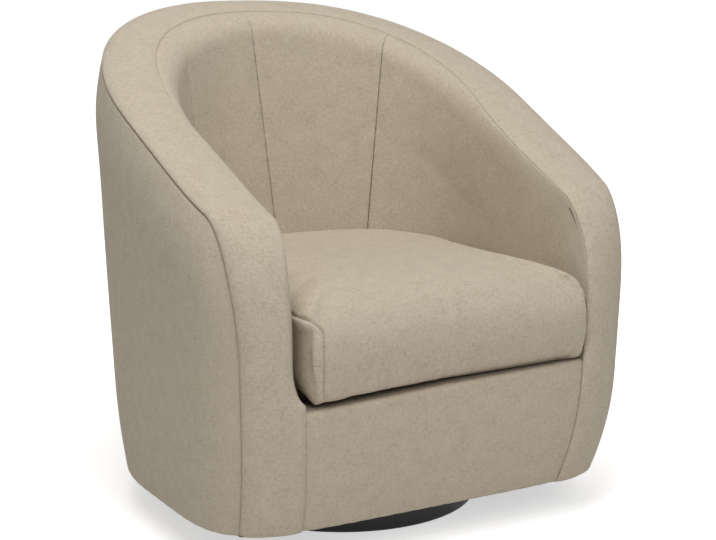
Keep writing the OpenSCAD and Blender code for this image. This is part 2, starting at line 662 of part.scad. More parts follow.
module deck_pad() {
    half = [for (u = deck_stations) let (p = wall_at(u, wall_t(u) - pad_t/2, deck_z)) [p.x, max(p.y, deck_front)]];
    last_x = half[len(half) - 1].x;
    color("#8f8470") translate([0, 0, deck_z - deck_t]) linear_extrude(deck_t) polygon(concat(
        half, [[last_x, deck_front], [-last_x, deck_front]],
        [for (i = [len(half) - 1:-1:1]) [-half[i].x, half[i].y]]));
}
cloth_end_share = 1.92;
module bottom_cloth() {
    us = concat(stations(0, 1, 12), stations(1.1, cloth_end_share, 8));
    corner = end_at(shell_z).x - 2*timber_gap;
    half = [for (u = us) let (p = wall_at(u, timber_in + timber_gap, shell_z)) [p.x, max(p.y, front_rail_y)]];
    color("#2b2a29") translate([0, 0, shell_z]) difference() {
        linear_extrude(cloth_t) polygon(concat(half, [[corner, front_rail_y], [-corner, front_rail_y]],
            [for (i = [len(half) - 1:-1:1]) [-half[i].x, half[i].y]]));
        translate([-board_w/2 - over, -board_w/2 - over, -over]) cube([board_w + 2*over, board_w + 2*over, 3*over]);
        for (a = [-1, 1]) translate([a*(board_w/2 + over) - join/2, -half_w, -over]) cube([join, 2*half_w, 3*over]);
    }
}

floor_pads();
base_disc();
base_riser();
riser_screws();
lower_plate();
lower_screws();
centre_pin();
ball_cage();
bearing_balls();
upper_plate();
plate_bolts();
board_nuts();
mounting_board();
cross_rails();
bottom_rail_left();
bottom_rail_right();
bottom_rail_back();
front_rail();
front_posts();
side_posts();
back_posts();
top_rail_left();
top_rail_right();
top_rail_back();
seat_rail_left();
seat_rail_right();
seat_rail_back();
corner_blocks();
seat_straps();
deck_pad();
bottom_cloth();
outside_left();
outside_right();
outside_back();
border_band();
inside_arm_left();
inside_arm_right();
inside_back_left();
inside_back_right();
front_panel();
seat_cushion();
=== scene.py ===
# A round-backed swivel tub chair in heathered beige cloth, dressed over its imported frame
import bpy, bmesh, math
import numpy as np
from mathutils import Vector, Matrix
from types import SimpleNamespace


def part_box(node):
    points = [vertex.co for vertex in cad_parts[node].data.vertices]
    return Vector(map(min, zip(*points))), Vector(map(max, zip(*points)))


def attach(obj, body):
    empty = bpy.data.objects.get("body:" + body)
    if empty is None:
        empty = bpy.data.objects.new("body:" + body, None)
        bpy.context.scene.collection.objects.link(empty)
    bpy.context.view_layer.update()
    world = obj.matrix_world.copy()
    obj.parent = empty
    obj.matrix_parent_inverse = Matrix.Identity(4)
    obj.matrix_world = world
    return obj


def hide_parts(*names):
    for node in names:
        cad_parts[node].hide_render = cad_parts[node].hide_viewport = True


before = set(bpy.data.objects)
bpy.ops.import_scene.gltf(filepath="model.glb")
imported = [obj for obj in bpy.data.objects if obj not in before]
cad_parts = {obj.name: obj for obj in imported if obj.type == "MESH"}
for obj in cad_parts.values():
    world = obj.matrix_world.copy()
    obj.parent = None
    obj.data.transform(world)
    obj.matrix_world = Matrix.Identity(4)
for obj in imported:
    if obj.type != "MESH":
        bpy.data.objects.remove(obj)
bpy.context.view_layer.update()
scene = bpy.context.scene
print("frame loaded:", len(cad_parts), "nodes")

# Camera, floor and studio light
camera = {"turn": -29.4858, "rise": 10.0409, "distance": 2.4573, "lens": 74.26, "lookAt": (0, 0, 0.40),
          "shift": (0.02326, -0.01866)}
studio = {"world": 0.25, "floorTint": "#f4f3f1", "floorLift": 0.58, "shadowReach": 0.55, "whiteFrom": 1.5,
          "floorHalf": 14, "aim": (0, 0, 0.4),
          "lamps": {"keyLight": ((-1.4, -1.6, 2.6), 0.9, 15), "topLight": ((-0.3, -0.5, 3.0), 1.6, 37),
                    "frontLight": ((-0.2, -2.6, 2.0), 1.6, 17)}}


def linear(hexColour):
    # an sRGB hex colour as linear RGBA
    c = [int(hexColour[i:i + 2], 16) / 255 for i in (1, 3, 5)]
    return (*[x / 12.92 if x <= 0.04045 else ((x + 0.055) / 1.055) ** 2.4 for x in c], 1)


def newObject(name, data):
    piece = bpy.data.objects.new(name, data)
    scene.collection.objects.link(piece)
    return piece


# the node tree being built; newMaterial, lightWorld and startTree set it
building = {"tree": None}


def addNode(kind, inputs=None, **settings):
    # one node, a ShaderNode unless its kind says otherwise; an input is a constant, a node or a (node, output) pair
    tree = building["tree"]
    node = tree.nodes.new(kind if "Node" in kind else "ShaderNode" + kind)
    for key, value in settings.items():
        setattr(node, key, value)
    for key, value in (inputs or {}).items():
        paired = isinstance(value, tuple) and isinstance(value[0], bpy.types.Node)
        source, output = value if paired else (value, 0)
        if isinstance(source, bpy.types.Node):
            tree.links.new(source.outputs[output], node.inputs[key])
        else:
            node.inputs[key].default_value = value
    return node


def maths(operation, *inputs, clamp=False):
    return addNode("Math", dict(enumerate(inputs)), operation=operation, use_clamp=clamp)


def noise(spot, scale, detail, roughness=0.5, distortion=0.0, **settings):
    return addNode("TexNoise", {"Vector": spot, "Scale": scale, "Detail": detail, "Roughness": roughness,
                                "Distortion": distortion}, **settings)


def blend(share, a, b):
    return addNode("Mix", {0: share, 2: a, 3: b}, data_type="FLOAT")


def ranged(value, fromMin, fromMax, toMin, toMax, way="LINEAR"):
    return addNode("MapRange", {"Value": value, "From Min": fromMin, "From Max": fromMax, "To Min": toMin,
                                "To Max": toMax}, interpolation_type=way)


def toned(value, low, high, middle=None):
    # a colour ramp; each mark is a position and an sRGB colour
    ramp = addNode("ValToRGB", {"Fac": value})
    marks = ramp.color_ramp.elements
    for k, (position, colour) in enumerate((low, high)):
        marks[k].position, marks[k].color = position, linear(colour)
    if middle:
        marks.new(middle[0]).color = linear(middle[1])
    return ramp


def newMaterial(name):
    mat = bpy.data.materials.new(name)
    mat.use_nodes = True
    mat.node_tree.nodes.clear()
    building["tree"] = mat.node_tree
    return mat


def placeCamera():
    a, e = math.radians(camera["turn"]), math.radians(camera["rise"])
    back = Vector((math.sin(a) * math.cos(e), -math.cos(a) * math.cos(e), math.sin(e)))
    right = Vector((0, 0, 1)).cross(back).normalized()
    data = bpy.data.cameras.new("camera")
    data.lens, data.sensor_width, data.sensor_fit = camera["lens"], 36, "HORIZONTAL"
    data.shift_x, data.shift_y = camera["shift"]
    data.clip_start, data.clip_end = 0.05, 60
    scene.camera = newObject("camera", data)
    spot = Vector(camera["lookAt"]) + back * camera["distance"]
    turn = Matrix((right, back.cross(right), back)).transposed().to_4x4()
    scene.camera.matrix_world = Matrix.Translation(spot) @ turn


def areaLight(name, spot, size, power):
    data = bpy.data.lights.new(name, "AREA")
    data.shape, data.size, data.energy = "DISK", size, power
    turn = (Vector(spot) - Vector(studio["aim"])).to_track_quat("Z", "Y").to_matrix().to_4x4()
    newObject(name, data).matrix_world = Matrix.Translation(spot) @ turn


def layFloor():
    # white for the eye and for reflections, plain grey-white for the light, with the chair's shadow kept
    mesh = bpy.data.meshes.new("floor")
    r = studio["floorHalf"]
    mesh.from_pydata([(-r, -r, 0), (r, -r, 0), (r, r, 0), (-r, r, 0)], [], [(0, 1, 2, 3)])
    floor = newObject("floor", mesh)
    mat = newMaterial("studioFloor")
    seen = addNode("LightPath")
    either = maths("ADD", (seen, "Is Camera Ray"), (seen, "Is Glossy Ray"), clamp=True)
    spot = addNode("TexCoord")
    far = addNode("VectorMath", {0: (spot, "Object")}, operation="LENGTH")
    level = ranged((far, "Value"), studio["shadowReach"], studio["whiteFrom"], studio["floorLift"], 1.0,
                   "SMOOTHSTEP")
    lift = maths("MULTIPLY", either, level)
    glow = addNode("Emission", {"Color": (1, 1, 1, 1), "Strength": lift})
    paint = addNode("BsdfDiffuse", {"Color": linear(studio["floorTint"])})
    both = addNode("AddShader", {0: paint, 1: glow})
    addNode("OutputMaterial", {"Surface": both})
    mesh.materials.append(mat)


def lightWorld():
    world = bpy.data.worlds.new("studio")
    scene.world = world
    world.use_nodes = True
    world.node_tree.nodes.clear()
    building["tree"] = world.node_tree
    seen = addNode("LightPath")
    straight = maths("ADD", (seen, "Is Camera Ray"), (seen, "Is Transmission Ray"), clamp=True)
    level = ranged(straight, 0.0, 1.0, studio["world"], 1.0)
    sky = addNode("Background", {"Color": (1, 1, 1, 1), "Strength": level})
    addNode("OutputWorld", {"Surface": sky})


scene.view_settings.view_transform = "Standard"
placeCamera()
for lampName, (spot, size, power) in studio["lamps"].items():
    areaLight(lampName, spot, size, power)
layFloor()
lightWorld()
print("camera and studio set")

# The shell's shape, in metres, as the frame has it
shell = {"halfW": 0.385, "backD": 0.358, "frontD": 0.330, "planY": -0.011, "bottom": 0.056, "armH": 0.499,
         "backH": 0.815, "climbY": -0.285, "kneeReach": 0.076, "kneeFall": 0.188, "armFrontY": -0.308,
         "underH": 0.178, "insideW": 0.257, "insideBack": 0.223, "insideFrontX": 0.251, "insideFrontY": -0.337,
         "seatZ": 0.405, "deckZ": 0.261, "join": 0.0003, "backRound": 2.35, "frontSquare": 5.95,
         "insideRound": 2.3, "flare": 0.0405, "flareZ": 0.457, "lean": 0.074, "underSide": 0.028,
         "underFront": 0.126, "underBack": 0.034, "climbSoft": 0.046, "rearSeam": 0.62, "seamLow": 0.40,
         "seamHigh": 0.52, "shoulderIn": 0.028, "shoulderBack": 0.016, "shoulderH": 0.100, "bandW": 0.092,
         "bandDrop": 0.020, "armDrop": 0.015, "armSeamIn": 0.003, "wideFrom": 0.2, "wideTo": 1.5,
         "rollH": 0.040, "fullH": 0.16, "swell": 0.004, "swellAt": 0.85, "swellReach": 0.3, "crown": 0.016,
         "outerEdge": 0.12, "innerEdge": 0.60, "cornerPull": 0.0165, "rightPull": 0.4, "rightRoll": 0.3,
         "pullRise": 0.055, "cornerRoll": 0.011}
tub = SimpleNamespace(**shell)
joined = np.concatenate


def packed(*parts):
    # arrays side by side along a new last axis
    return np.stack(parts, -1)


def sided(x, pair):
    # the first of a pair where x is left of the middle, else the second
    return np.where(np.asarray(x) < 0, *pair)


def mix(a, b, f):
    return a + (b - a) * f


def clamp01(v):
    return np.clip(v, 0, 1)


def arc(v):
    # a quarter circle, from 1 where v is nil to 0 where it is 1
    return np.sqrt(1 - clamp01(v) ** 2)


def eased(v):
    v = clamp01(v)
    return v * v * (3 - 2 * v)


def unit(v):
    return v / np.linalg.norm(v, axis=-1, keepdims=True)


def curve(a, w, d, p):
    return ((np.abs(np.sin(a)) / w) ** p + (np.abs(np.cos(a)) / d) ** p) ** (-1 / p)


def planOut(u):
    # outside plan curve: station 0 is the back centre, 1 the side, 2 the arm front
    a = np.radians(90 * np.minimum(u, 1))
    r = curve(a, tub.halfW, tub.backD, tub.backRound)
    y = mix(tub.planY, tub.armFrontY, np.maximum(u - 1, 0))
    x = tub.halfW * (1 - ((tub.planY - y) / tub.frontD) ** tub.frontSquare) ** (1 / tub.frontSquare)
    front = u > 1
    return packed(np.where(front, x, r * np.sin(a)), np.where(front, y, tub.planY + r * np.cos(a)))


def planIn(u):
    a = np.radians(90 * np.minimum(u, 1))
    r = curve(a, tub.insideW, tub.insideBack, tub.insideRound)
    f = np.maximum(u - 1, 0)
    front = u > 1
    return packed(np.where(front, mix(tub.insideW, tub.insideFrontX, f), r * np.sin(a)),
                  np.where(front, mix(tub.planY, tub.insideFrontY, f), tub.planY + r * np.cos(a)))


def leanAt(y, z):
    return tub.lean * (z - tub.seatZ) * clamp01(y / tub.backD)


def place(p, z):
    # flare, draw-in at the foot and lean of the back
    flare = 1 + tub.flare * (z / tub.flareZ - 1)
    under = clamp01(1 - (z - tub.bottom) / tub.underH) ** 2
    share = np.where(p[..., 1] < tub.planY, tub.underFront, tub.underBack)
    y = (tub.planY + (p[..., 1] - tub.planY) * (1 - share * under)) * flare
    return packed(p[..., 0] * flare * (1 - tub.underSide * under), y + leanAt(y, z), z)


def alongY(u):
    return planOut(np.abs(u))[..., 1]


def knee(u):
    # 0 along the arm, rising to 1 at the arm's front
    return clamp01(1 - (alongY(u) - tub.armFrontY) / tub.kneeReach)


def topZ(u):
    # height of the outer seam: the climb to the back, less the fall at the knee
    v = (alongY(u) - tub.climbY) / (tub.backD - tub.climbY)
    rise = (v + np.sqrt(v * v + tub.climbSoft ** 2)) / 2
    return tub.armH + (tub.backH - tub.armH) * rise - tub.kneeFall * (1 - np.sqrt(1 - knee(u) ** 2))


def armness(u):
    # 0 at the back, rising smoothly to 1 along the arms
    return eased((np.abs(u) - tub.wideFrom) / (tub.wideTo - tub.wideFrom))


def drop(u):
    # how far the band's inner seam lies below the outer one
    atBack = tub.bandDrop * clamp01((alongY(u) - tub.planY) / tub.backD)
    return atBack + tub.armDrop * armness(u) * (1 - knee(u) ** 2)


def wallT(u):
    return np.linalg.norm(planIn(np.abs(u)) - planOut(np.abs(u)), axis=-1)


def wall(u, d, z):
    # a point in the wall: station, depth from the outside, height; a negative station is on the left
    u, d, z = np.broadcast_arrays(*(np.asarray(v, float) for v in (u, d, z)))
    o, i = planOut(np.abs(u)), planIn(np.abs(u))
    p = place(o, z)
    q = unit(i - o) * d[..., None]
    side = sided(u, (-1.0, 1.0))
    return packed(side * (p[..., 0] + q[..., 0]), p[..., 1] + q[..., 1], z)


def cornerPull(u, z):
    # the cushion presses the arm's inner corner outwards, above the deck
    over = arc(1 - (z - tub.deckZ) / tub.pullRise)
    share = sided(u, (1, tub.rightPull))
    return tub.cornerPull * share * knee(u) ** 2 * np.where(z > tub.deckZ, over, 0)


def cornerDrop(u):
    # the band's inner corner is rounded down the knee, less so on the right
    return tub.cornerRoll * sided(u, (1, tub.rightRoll)) * knee(u) ** 2


def innerEdge(u, z):
    # depth of the band's inner seam: wider along the arms, and over the whole wall at the arm's front
    onTop = mix(tub.bandW, wallT(np.array(1.0)) - tub.armSeamIn, armness(u))
    return mix(onTop, wallT(np.array(2.0)), knee(u) ** 2) - cornerPull(u, z)


def forwardOf(z):
    # level direction that the arm's front faces
    v = wall(2.0, wallT(np.array(2.0)), z) - wall(2.0, 0.0, z)
    return unit(packed(-v[..., 1], v[..., 0], np.zeros_like(v[..., 0])))


def bandWay(u):
    # direction that the band's crown rises in: up along the wall, turning forward down the knee
    k = knee(u)
    way = forwardOf(topZ(u)) * (tub.kneeFall * k)[..., None]
    way[..., 2] += tub.kneeReach * np.sqrt(1 - k * k)
    return unit(way) * packed(sided(u, (-1.0, 1.0)), np.ones_like(k), np.ones_like(k))


def seamRise(u):
    # height of the band's inner seam above the wall
    return tub.join + tub.crown * mix(tub.innerEdge, tub.outerEdge, knee(u) ** 2)


def depthAt(u, z, low):
    # depth of the inside face: full below, rolling over to the band's inner seam near the rim, where low is 0
    swell = tub.swell * np.exp(-((np.abs(u) - tub.swellAt) / tub.swellReach) ** 2) * np.sin(np.pi * low)
    full = wallT(u) - cornerPull(u, z) + swell
    return mix(innerEdge(u, z), full, arc(1 - low * tub.fullH / tub.rollH))


def shoulder(u):
    # how far the band's outer seam is drawn in from the outside
    y = alongY(u)
    return mix(tub.shoulderIn, tub.shoulderBack, clamp01((y - tub.climbY) / tub.backD)) * (1 - knee(u) ** 2)


def roundIn(u, z):
    # the outside face, rounded in towards that seam
    return shoulder(u) * clamp01((z - topZ(u) + tub.shoulderH) / tub.shoulderH) ** 2.2


def kneeStation(f):
    # f from 0, where the knee starts, to a quarter turn at the arm front
    return 1 + (tub.armFrontY + tub.kneeReach * (1 - np.sin(f)) - tub.planY) / (tub.armFrontY - tub.planY)


# Sewn panels
sewing = {"pitch": 0.006, "roll": 0.0052, "depth": 0.0032, "hem": 0.009, "ripple": 0.0008, "quiet": 0.03,
          "pucker": 0.0003, "puckerReach": 0.008, "puckerPitch": 0.031, "faintGap": 0.002,
          "edgeRows": [0, 0.0003, 0.0008, 0.0016, 0.0027, 0.0041, 0.0060]}


def rows(length, fine=(True, True)):
    # distances along a panel, close together where its edges turn into a seam
    edge = sewing["edgeRows"]
    start = edge if fine[0] else [0]
    end = [length - e for e in edge[::-1]] if fine[1] else [length]
    n = max(2, round((end[0] - start[-1]) / sewing["pitch"]))
    middle = np.linspace(start[-1], end[0], n + 1)[1:-1]
    return joined([start, middle, end]) / length


def arcs(p, axis):
    # metres walked along one direction of a grid of points
    step = np.linalg.norm(np.diff(p, axis=axis), axis=-1)
    zero = np.zeros_like(np.take(step, [0], axis=axis))
    return np.cumsum(joined([zero, step], axis=axis), axis=axis)


def wander(p, seed, long=0.17, short=0.06, waves=9):
    # slow unevenness of stuffing under cloth, between -1 and 1
    rng = np.random.default_rng(seed)
    total = np.zeros(p.shape[:-1])
    for k in range(waves):
        way = unit(rng.normal(size=3)) * 2 * np.pi / mix(long, short, k / (waves - 1))
        total += np.sin(p @ way + rng.uniform(0, 6.28)) / (1 + 0.25 * k)
    return total / 3.2


def finishMesh(mesh, uvs, material):
    # smooth faces, one material, and UV maps from a pair of values for each vertex
    loops = np.zeros(len(mesh.loops), int)
    mesh.loops.foreach_get("vertex_index", loops)
    for key, values in uvs.items():
        layer = mesh.uv_layers.new(name=key)
        layer.data.foreach_set("uv", np.asarray(values, np.float32)[loops].ravel())
    mesh.polygons.foreach_set("use_smooth", [True] * len(mesh.polygons))
    mesh.materials.append(material)


def buildMesh(name, verts, quads, uvs, material):
    # a closed mesh with its weave and seam coordinates, in metres
    mesh = bpy.data.meshes.new(name)
    mesh.from_pydata(verts.tolist(), [], quads)
    finishMesh(mesh, uvs, material)
    piece = newObject(name, mesh)
    bm = bmesh.new()
    bm.from_mesh(mesh)
    if bm.calc_volume(signed=True) < 0:
        bmesh.ops.reverse_faces(bm, faces=bm.faces)
        bm.to_mesh(mesh)
    bm.free()
    return piece


def sewnPanel(name, face, back, edges, node, seed, ease=1.0):
    # face and back are grids of points; edges gives roll radius and depth on each of the four sides
    m, n = face.shape[:2]
    along, up = arcs(face, 0), arcs(face, 1)
    gaps = {"start": along, "end": along[-1:] - along, "foot": up, "top": up[:, -1:] - up}
    normal = unit(np.cross(np.gradient(face, axis=0), np.gradient(face, axis=1)))
    if np.sum(normal * (face - back)) < 0:
        normal = -normal
    sink, quiet = np.zeros((m, n)), np.ones((m, n))
    nearest, walked, faint = np.full((m, n), 9.0), np.zeros((m, n)), np.zeros((m, n))
    for key, (radius, depth) in edges.items():
        gap, sideways = gaps[key], key in ("start", "end")
        part = ease if sideways else 1.0
        sink += (part * depth * (1 - arc(1 - gap / radius))) ** 2
        quiet *= clamp01(gap / sewing["quiet"])
        closer = gap < nearest
        nearest = np.where(closer, gap, nearest)
        walked = np.where(closer, up if sideways else along, walked)
        faint = np.where(closer, 1 - part, faint)
    waves = np.sin(walked * 2 * np.pi / sewing["puckerPitch"] + 2 * wander(face, seed + 5))
    pull = np.exp(-nearest / sewing["puckerReach"]) * sewing["pucker"] * waves
    rise = sewing["ripple"] * quiet * wander(face, seed) + pull
    face = face + normal * rise[..., None] + unit(back - face) * np.sqrt(sink)[..., None]
    verts = joined([face.reshape(-1, 3), back.reshape(-1, 3)])
    i, j = np.meshgrid(np.arange(m - 1), np.arange(n - 1), indexing="ij")
    a = (i * n + j).ravel()
    front = packed(a, a + n, a + n + 1, a + 1)
    rear = front[:, ::-1] + m * n
    loop = joined([np.arange(n - 1), np.arange(m - 1) * n + n - 1, (m - 1) * n + np.arange(n - 1, 0, -1),
                   np.arange(m - 1, 0, -1) * n])
    after = np.roll(loop, -1)
    rim = packed(loop, after, after + m * n, loop + m * n)
    quads = joined([front, rear, rim]).tolist()
    weave = packed(along.ravel(), up.ravel())
    # the seam map holds the walk along the nearest seam and the distance from it; the distance places the puckers
    # and the painted seam shadow, on the front panel's top edge too, and eased seams are moved out by faintGap so
    # their painted shadow fades
    seam = packed(walked.ravel(), (nearest + sewing["faintGap"] * faint).ravel())
    uvs = {"weave": joined([weave, weave]), "seam": joined([seam, seam])}
    piece = buildMesh(name, verts, quads, uvs, upholsteryCloth)
    return dress(piece, "shell", [node])


def dress(piece, body, nodes):
    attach(piece, body)
    if nodes:
        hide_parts(*nodes)
    return piece


# Upholstery cloth
# Polyester and linen-look yarn, plain woven and heathered: matt, softly fuzzy, light and dark yarns mixed.
# The real yarn is about 0.9 mm; it is drawn 2.1 mm wide so that it shows at this distance.
cloth = {"tint": "#bfb3a0", "dark": "#ab9e8b", "light": "#ccc1af", "yarn": 0.0021, "slub": 0.011,
         "patch": 0.026, "roughness": 0.92, "gloss": 0.25, "sheen": 0.22, "sheenTint": "#f2ebdf", "bump": 0.35,
         "relief": 0.0012, "mottle": (190.0, 3.0, 0.65), "fuzz": (700.0, 2.0, 0.7), "mottleShare": 0.40,
         "patchShare": 0.16, "marks": (0.30, 0.50, 0.72), "warpShare": 0.7, "seamShadowColour": "#6b5a45",
         "seamReach": 0.0016, "seamShade": 0.34, "puckerPitch": 0.0075, "puckerReach": 0.008,
         "puckerShare": 0.5}


def heatheredCloth():
    mat = newMaterial("heatheredPolyesterWeave")
    uv = addNode("UVMap", uv_map="weave")
    seam = addNode("UVMap", uv_map="seam")
    yarn, slub = 1 / cloth["yarn"], 1 / cloth["slub"]
    yarns = []
    for scale, shift in (((slub, yarn, 1), (0, 0, 0)), ((yarn, slub, 1), (7, 3, 0))):
        laid = addNode("Mapping", {"Vector": uv, "Scale": scale, "Location": shift})
        yarns.append(noise(laid, 1.0, 2.0, 0.6, noise_dimensions="2D"))
    mottle, patch, fuzz = [noise(uv, *sizes, noise_dimensions="2D")
                           for sizes in (cloth["mottle"], (1 / cloth["patch"], 2.0, 0.5), cloth["fuzz"])]
    tone = blend(cloth["patchShare"], blend(cloth["mottleShare"], blend(0.5, *yarns), mottle), patch)
    low, middle, high = zip(cloth["marks"], (cloth["dark"], cloth["tint"], cloth["light"]))
    ramp = toned(tone, low, high, middle)
    # painted shadow: within a couple of millimetres of each seam the cloth's colour is mixed towards dark brown, on
    # top of the groove's real shade
    gap = addNode("SeparateXYZ", {0: seam})
    closeBy = ranged((gap, "Y"), 0.0, cloth["seamReach"], cloth["seamShade"], 0.0, "SMOOTHSTEP")
    shade = addNode("Mix", {0: closeBy, 6: ramp, 7: linear(cloth["seamShadowColour"])}, data_type="RGBA")
    # relief: warp and weft crossing over and under, fuzz, and cloth puckered by each stitch
    height = maths("ADD", maths("MULTIPLY_ADD", yarns[0], cloth["warpShare"], yarns[1]), fuzz)
    wave = maths("SINE", maths("MULTIPLY", (gap, "X"), 2 * math.pi / cloth["puckerPitch"]))
    nearSeam = ranged((gap, "Y"), 0.0, cloth["puckerReach"], cloth["puckerShare"], 0.0, "SMOOTHSTEP")
    pucker = maths("MULTIPLY_ADD", wave, nearSeam, height)
    bump = addNode("Bump", {"Strength": cloth["bump"], "Distance": cloth["relief"], "Height": pucker})
    skin = addNode("BsdfPrincipled", {"Base Color": (shade, 2), "Normal": bump, "Roughness": cloth["roughness"],
                                      "Specular IOR Level": cloth["gloss"], "Sheen Weight": cloth["sheen"],
                                      "Sheen Roughness": 0.45, "Sheen Tint": linear(cloth["sheenTint"])})
    addNode("OutputMaterial", {"Surface": skin})
    return mat


upholsteryCloth = heatheredCloth()
print("upholstery cloth ready")

# Finishes of the frame, the swivel and the hidden cloths; scales are real sizes in metres
wood = {"pine": ("#e2c594", "#b98d58"), "pineRing": 0.009, "fibre": 0.0011, "ply": ("#e6d0a8", "#c09a69"),
        "veneer": 0.0015}
lacquer = {"colours": ("#0e0d0c", "#070606"), "peel": 0.0035}
metals = {"zincPlatedSteel": ("#c3c6c9", "#a9a79b", 0.30, 0.48, 0.0006),
          "turnedSteel": ("#b4b6b8", "#9a9c9e", 0.22, 0.36, 0.0003),
          "polishedBearingSteel": ("#d2d4d6", "#c2c4c6", 0.06, 0.14, 0.0002),
          "pressedBrass": ("#c9a35a", "#a98242", 0.26, 0.42, 0.0005),
          "galvanisedWire": ("#b9bcbe", "#94979a", 0.32, 0.50, 0.0003)}
softs = {"needledFelt": ("#897e6f", "#6d6355", 0.0016, 0.0045, 0.95, 0.3),
         "mouldedRubber": ("#1d1d1e", "#141415", 0.0009, 0.0120, 0.8, 0.0),
         "sewingThread": ("#a3937d", "#7f705c", 0.0004, 0.0030, 0.6, 0.2)}
hidden = {"spunbond": ("#2b2a2a", "#1b1b1b"), "emboss": 0.0024, "webbing": ("#3a3733", "#1f1d1b"), "rib": 0.0022}


def startFinish(name):
    return newMaterial(name), (addNode("TexCoord"), "Object")


def endFinish(mat, colours, tone, height, depth, roughness, gloss=0.5, metallic=0.0, sheen=0.0):
    # the shader these finishes share: two tones, a relief with its depth in metres, and the light they throw back
    ramp = toned(tone, (0.36, colours[1]), (0.64, colours[0]))
    bump = addNode("Bump", {"Strength": 0.4, "Distance": depth, "Height": height})
    skin = addNode("BsdfPrincipled", {"Base Color": ramp, "Normal": bump, "Roughness": roughness,
                                      "Specular IOR Level": gloss, "Metallic": metallic, "Sheen Weight": sheen})
    addNode("OutputMaterial", {"Surface": skin})
    return mat


def stretched(spot, *scale):
    return addNode("Mapping", {"Vector": spot, "Scale": scale})


def sawnPine(name, turn):
    # Pine, sawn and left bare: pale, dull, with darker late wood in streaks along each piece
    mat, spot = startFinish(name)
    lay = addNode("Mapping", {"Vector": spot, "Rotation": turn})
    ring, thin = 1 / wood["pineRing"], 1 / wood["fibre"]
    rings = noise(stretched(lay, 3.2, ring, ring), 1.0, 3.0, distortion=0.5)
    fibre = noise(stretched(lay, 22, thin, thin), 1.0, 2.0)
    return endFinish(mat, wood["pine"], blend(0.28, rings, fibre), fibre, depth=0.0004, roughness=0.66,
                     gloss=0.3)


def birchPlywood():
    # Birch plywood, sanded: creamy faces, and 1.5 mm veneers showing as light and dark lines on its edges
    mat, spot = startFinish("birchPlywood")
    fibre = noise(stretched(spot, 9, 420, 420), 1.0, 3.0)
    level = addNode("SeparateXYZ", {0: spot})
    facing = addNode("SeparateXYZ", {0: (spot[0], "Normal")})
    layer = maths("PINGPONG", (level, "Z"), wood["veneer"])
    layer = maths("GREATER_THAN", layer, wood["veneer"] / 2)
    onFace = maths("GREATER_THAN", maths("ABSOLUTE", (facing, "Z")), 0.5)
    tone = blend(onFace, blend(0.35, layer, fibre), fibre)
    return endFinish(mat, wood["ply"], tone, fibre, depth=0.0003, roughness=0.55, gloss=0.35)


def blackLacquer():
    # MDF sprayed with satin black lacquer: near black, with faint orange peel and a little dust in its sheen
    mat, spot = startFinish("satinBlackLacquer")
    peel = noise(spot, 1 / lacquer["peel"], 1.0)
    dusty = noise(spot, 38.0, 5.0, 0.7)
    rough = ranged(dusty, 0.3, 0.75, 0.34, 0.50)
    return endFinish(mat, lacquer["colours"], dusty, peel, depth=0.0001, roughness=rough, gloss=0.4)


def bareMetal(name):
    # steel and brass as their trade leaves them: tone and gloss uneven from handling, a fine grain
    bright, dull, low, high, grit = metals[name]
    mat, spot = startFinish(name)
    cloud = noise(spot, 60.0, 4.0, 0.6)
    grain = noise(spot, 1 / grit, 2.0)
    rough = ranged(cloud, 0.3, 0.7, low, high)
    return endFinish(mat, (bright, dull), cloud, grain, depth=0.00006, roughness=rough, metallic=1.0)


def softFinish(name):
    # felt, rubber and thread: matt, with short fibres or a moulded grain, and patches of wear
    light, dark, grit, patchSize, roughness, sheen = softs[name]
    mat, spot = startFinish(name)
    fine = noise(spot, 1 / grit, 3.0, 0.7)
    tone = blend(0.45, fine, noise(spot, 1 / patchSize, 2.0))
    return endFinish(mat, (light, dark), tone, fine, 0.0006, roughness, gloss=0.25, sheen=sheen)


def spunbondCloth():
    # Spun-bonded polypropylene, the black dust cloth: matt, embossed with small dots
    mat, spot = startFinish("spunbondPolypropylene")
    dots = addNode("TexVoronoi", {"Vector": spot, "Scale": 1 / hidden["emboss"], "Randomness": 0.15})
    tone = blend(0.5, dots, noise(spot, 320.0, 3.0))
    return endFinish(mat, hidden["spunbond"], tone, dots, depth=0.0004, roughness=0.85, gloss=0.3)


def wovenWebbing():
    # Woven polypropylene webbing: dull dark ribs across and along
    mat, spot = startFinish("polypropyleneWebbing")
    ribs = [(addNode("TexWave", {"Vector": spot, "Scale": 0.314 / hidden["rib"], "Distortion": 0.6},
                     bands_direction=way), 1) for way in ("X", "Y")]
    tone = blend(0.5, *ribs)
    return endFinish(mat, hidden["webbing"], tone, tone, depth=0.0008, roughness=0.7, gloss=0.35)


quarter = math.pi / 2
finishes = {
    sawnPine("sawnPineAcross", (0, 0, 0)): ["bottom_rail_back", "front_rail", "top_rail_back", "seat_rail_back"],
    sawnPine("sawnPineAlong", (0, 0, quarter)):
        ["cross_rails", "corner_blocks"] + [rail + side for rail in ("bottom_rail_", "top_rail_", "seat_rail_")
                                            for side in ("left", "right")],
    sawnPine("sawnPineUpright", (0, quarter, 0)): ["front_posts", "side_posts", "back_posts"],
    birchPlywood(): ["mounting_board"], blackLacquer(): ["base_disc", "base_riser"],
    bareMetal("zincPlatedSteel"):
        ["lower_plate", "upper_plate", "lower_screws", "riser_screws", "plate_bolts", "board_nuts"],
    bareMetal("turnedSteel"): ["centre_pin"], bareMetal("polishedBearingSteel"): ["bearing_balls"],
    bareMetal("pressedBrass"): ["ball_cage"], softFinish("mouldedRubber"): ["floor_pads"]}
for finish, nodes in finishes.items():
    for node in nodes:
        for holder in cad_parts[node].material_slots:
            holder.material = finish
dustCloth, webbing, stapleWire = spunbondCloth(), wovenWebbing(), bareMetal("galvanisedWire")
felt, thread = softFinish("needledFelt"), softFinish("sewingThread")
print("frame and swivel finished")


def points(mesh):
    co = np.zeros(len(mesh.vertices) * 3, np.float64)
    mesh.vertices.foreach_get("co", co)
    return co.reshape(-1, 3)


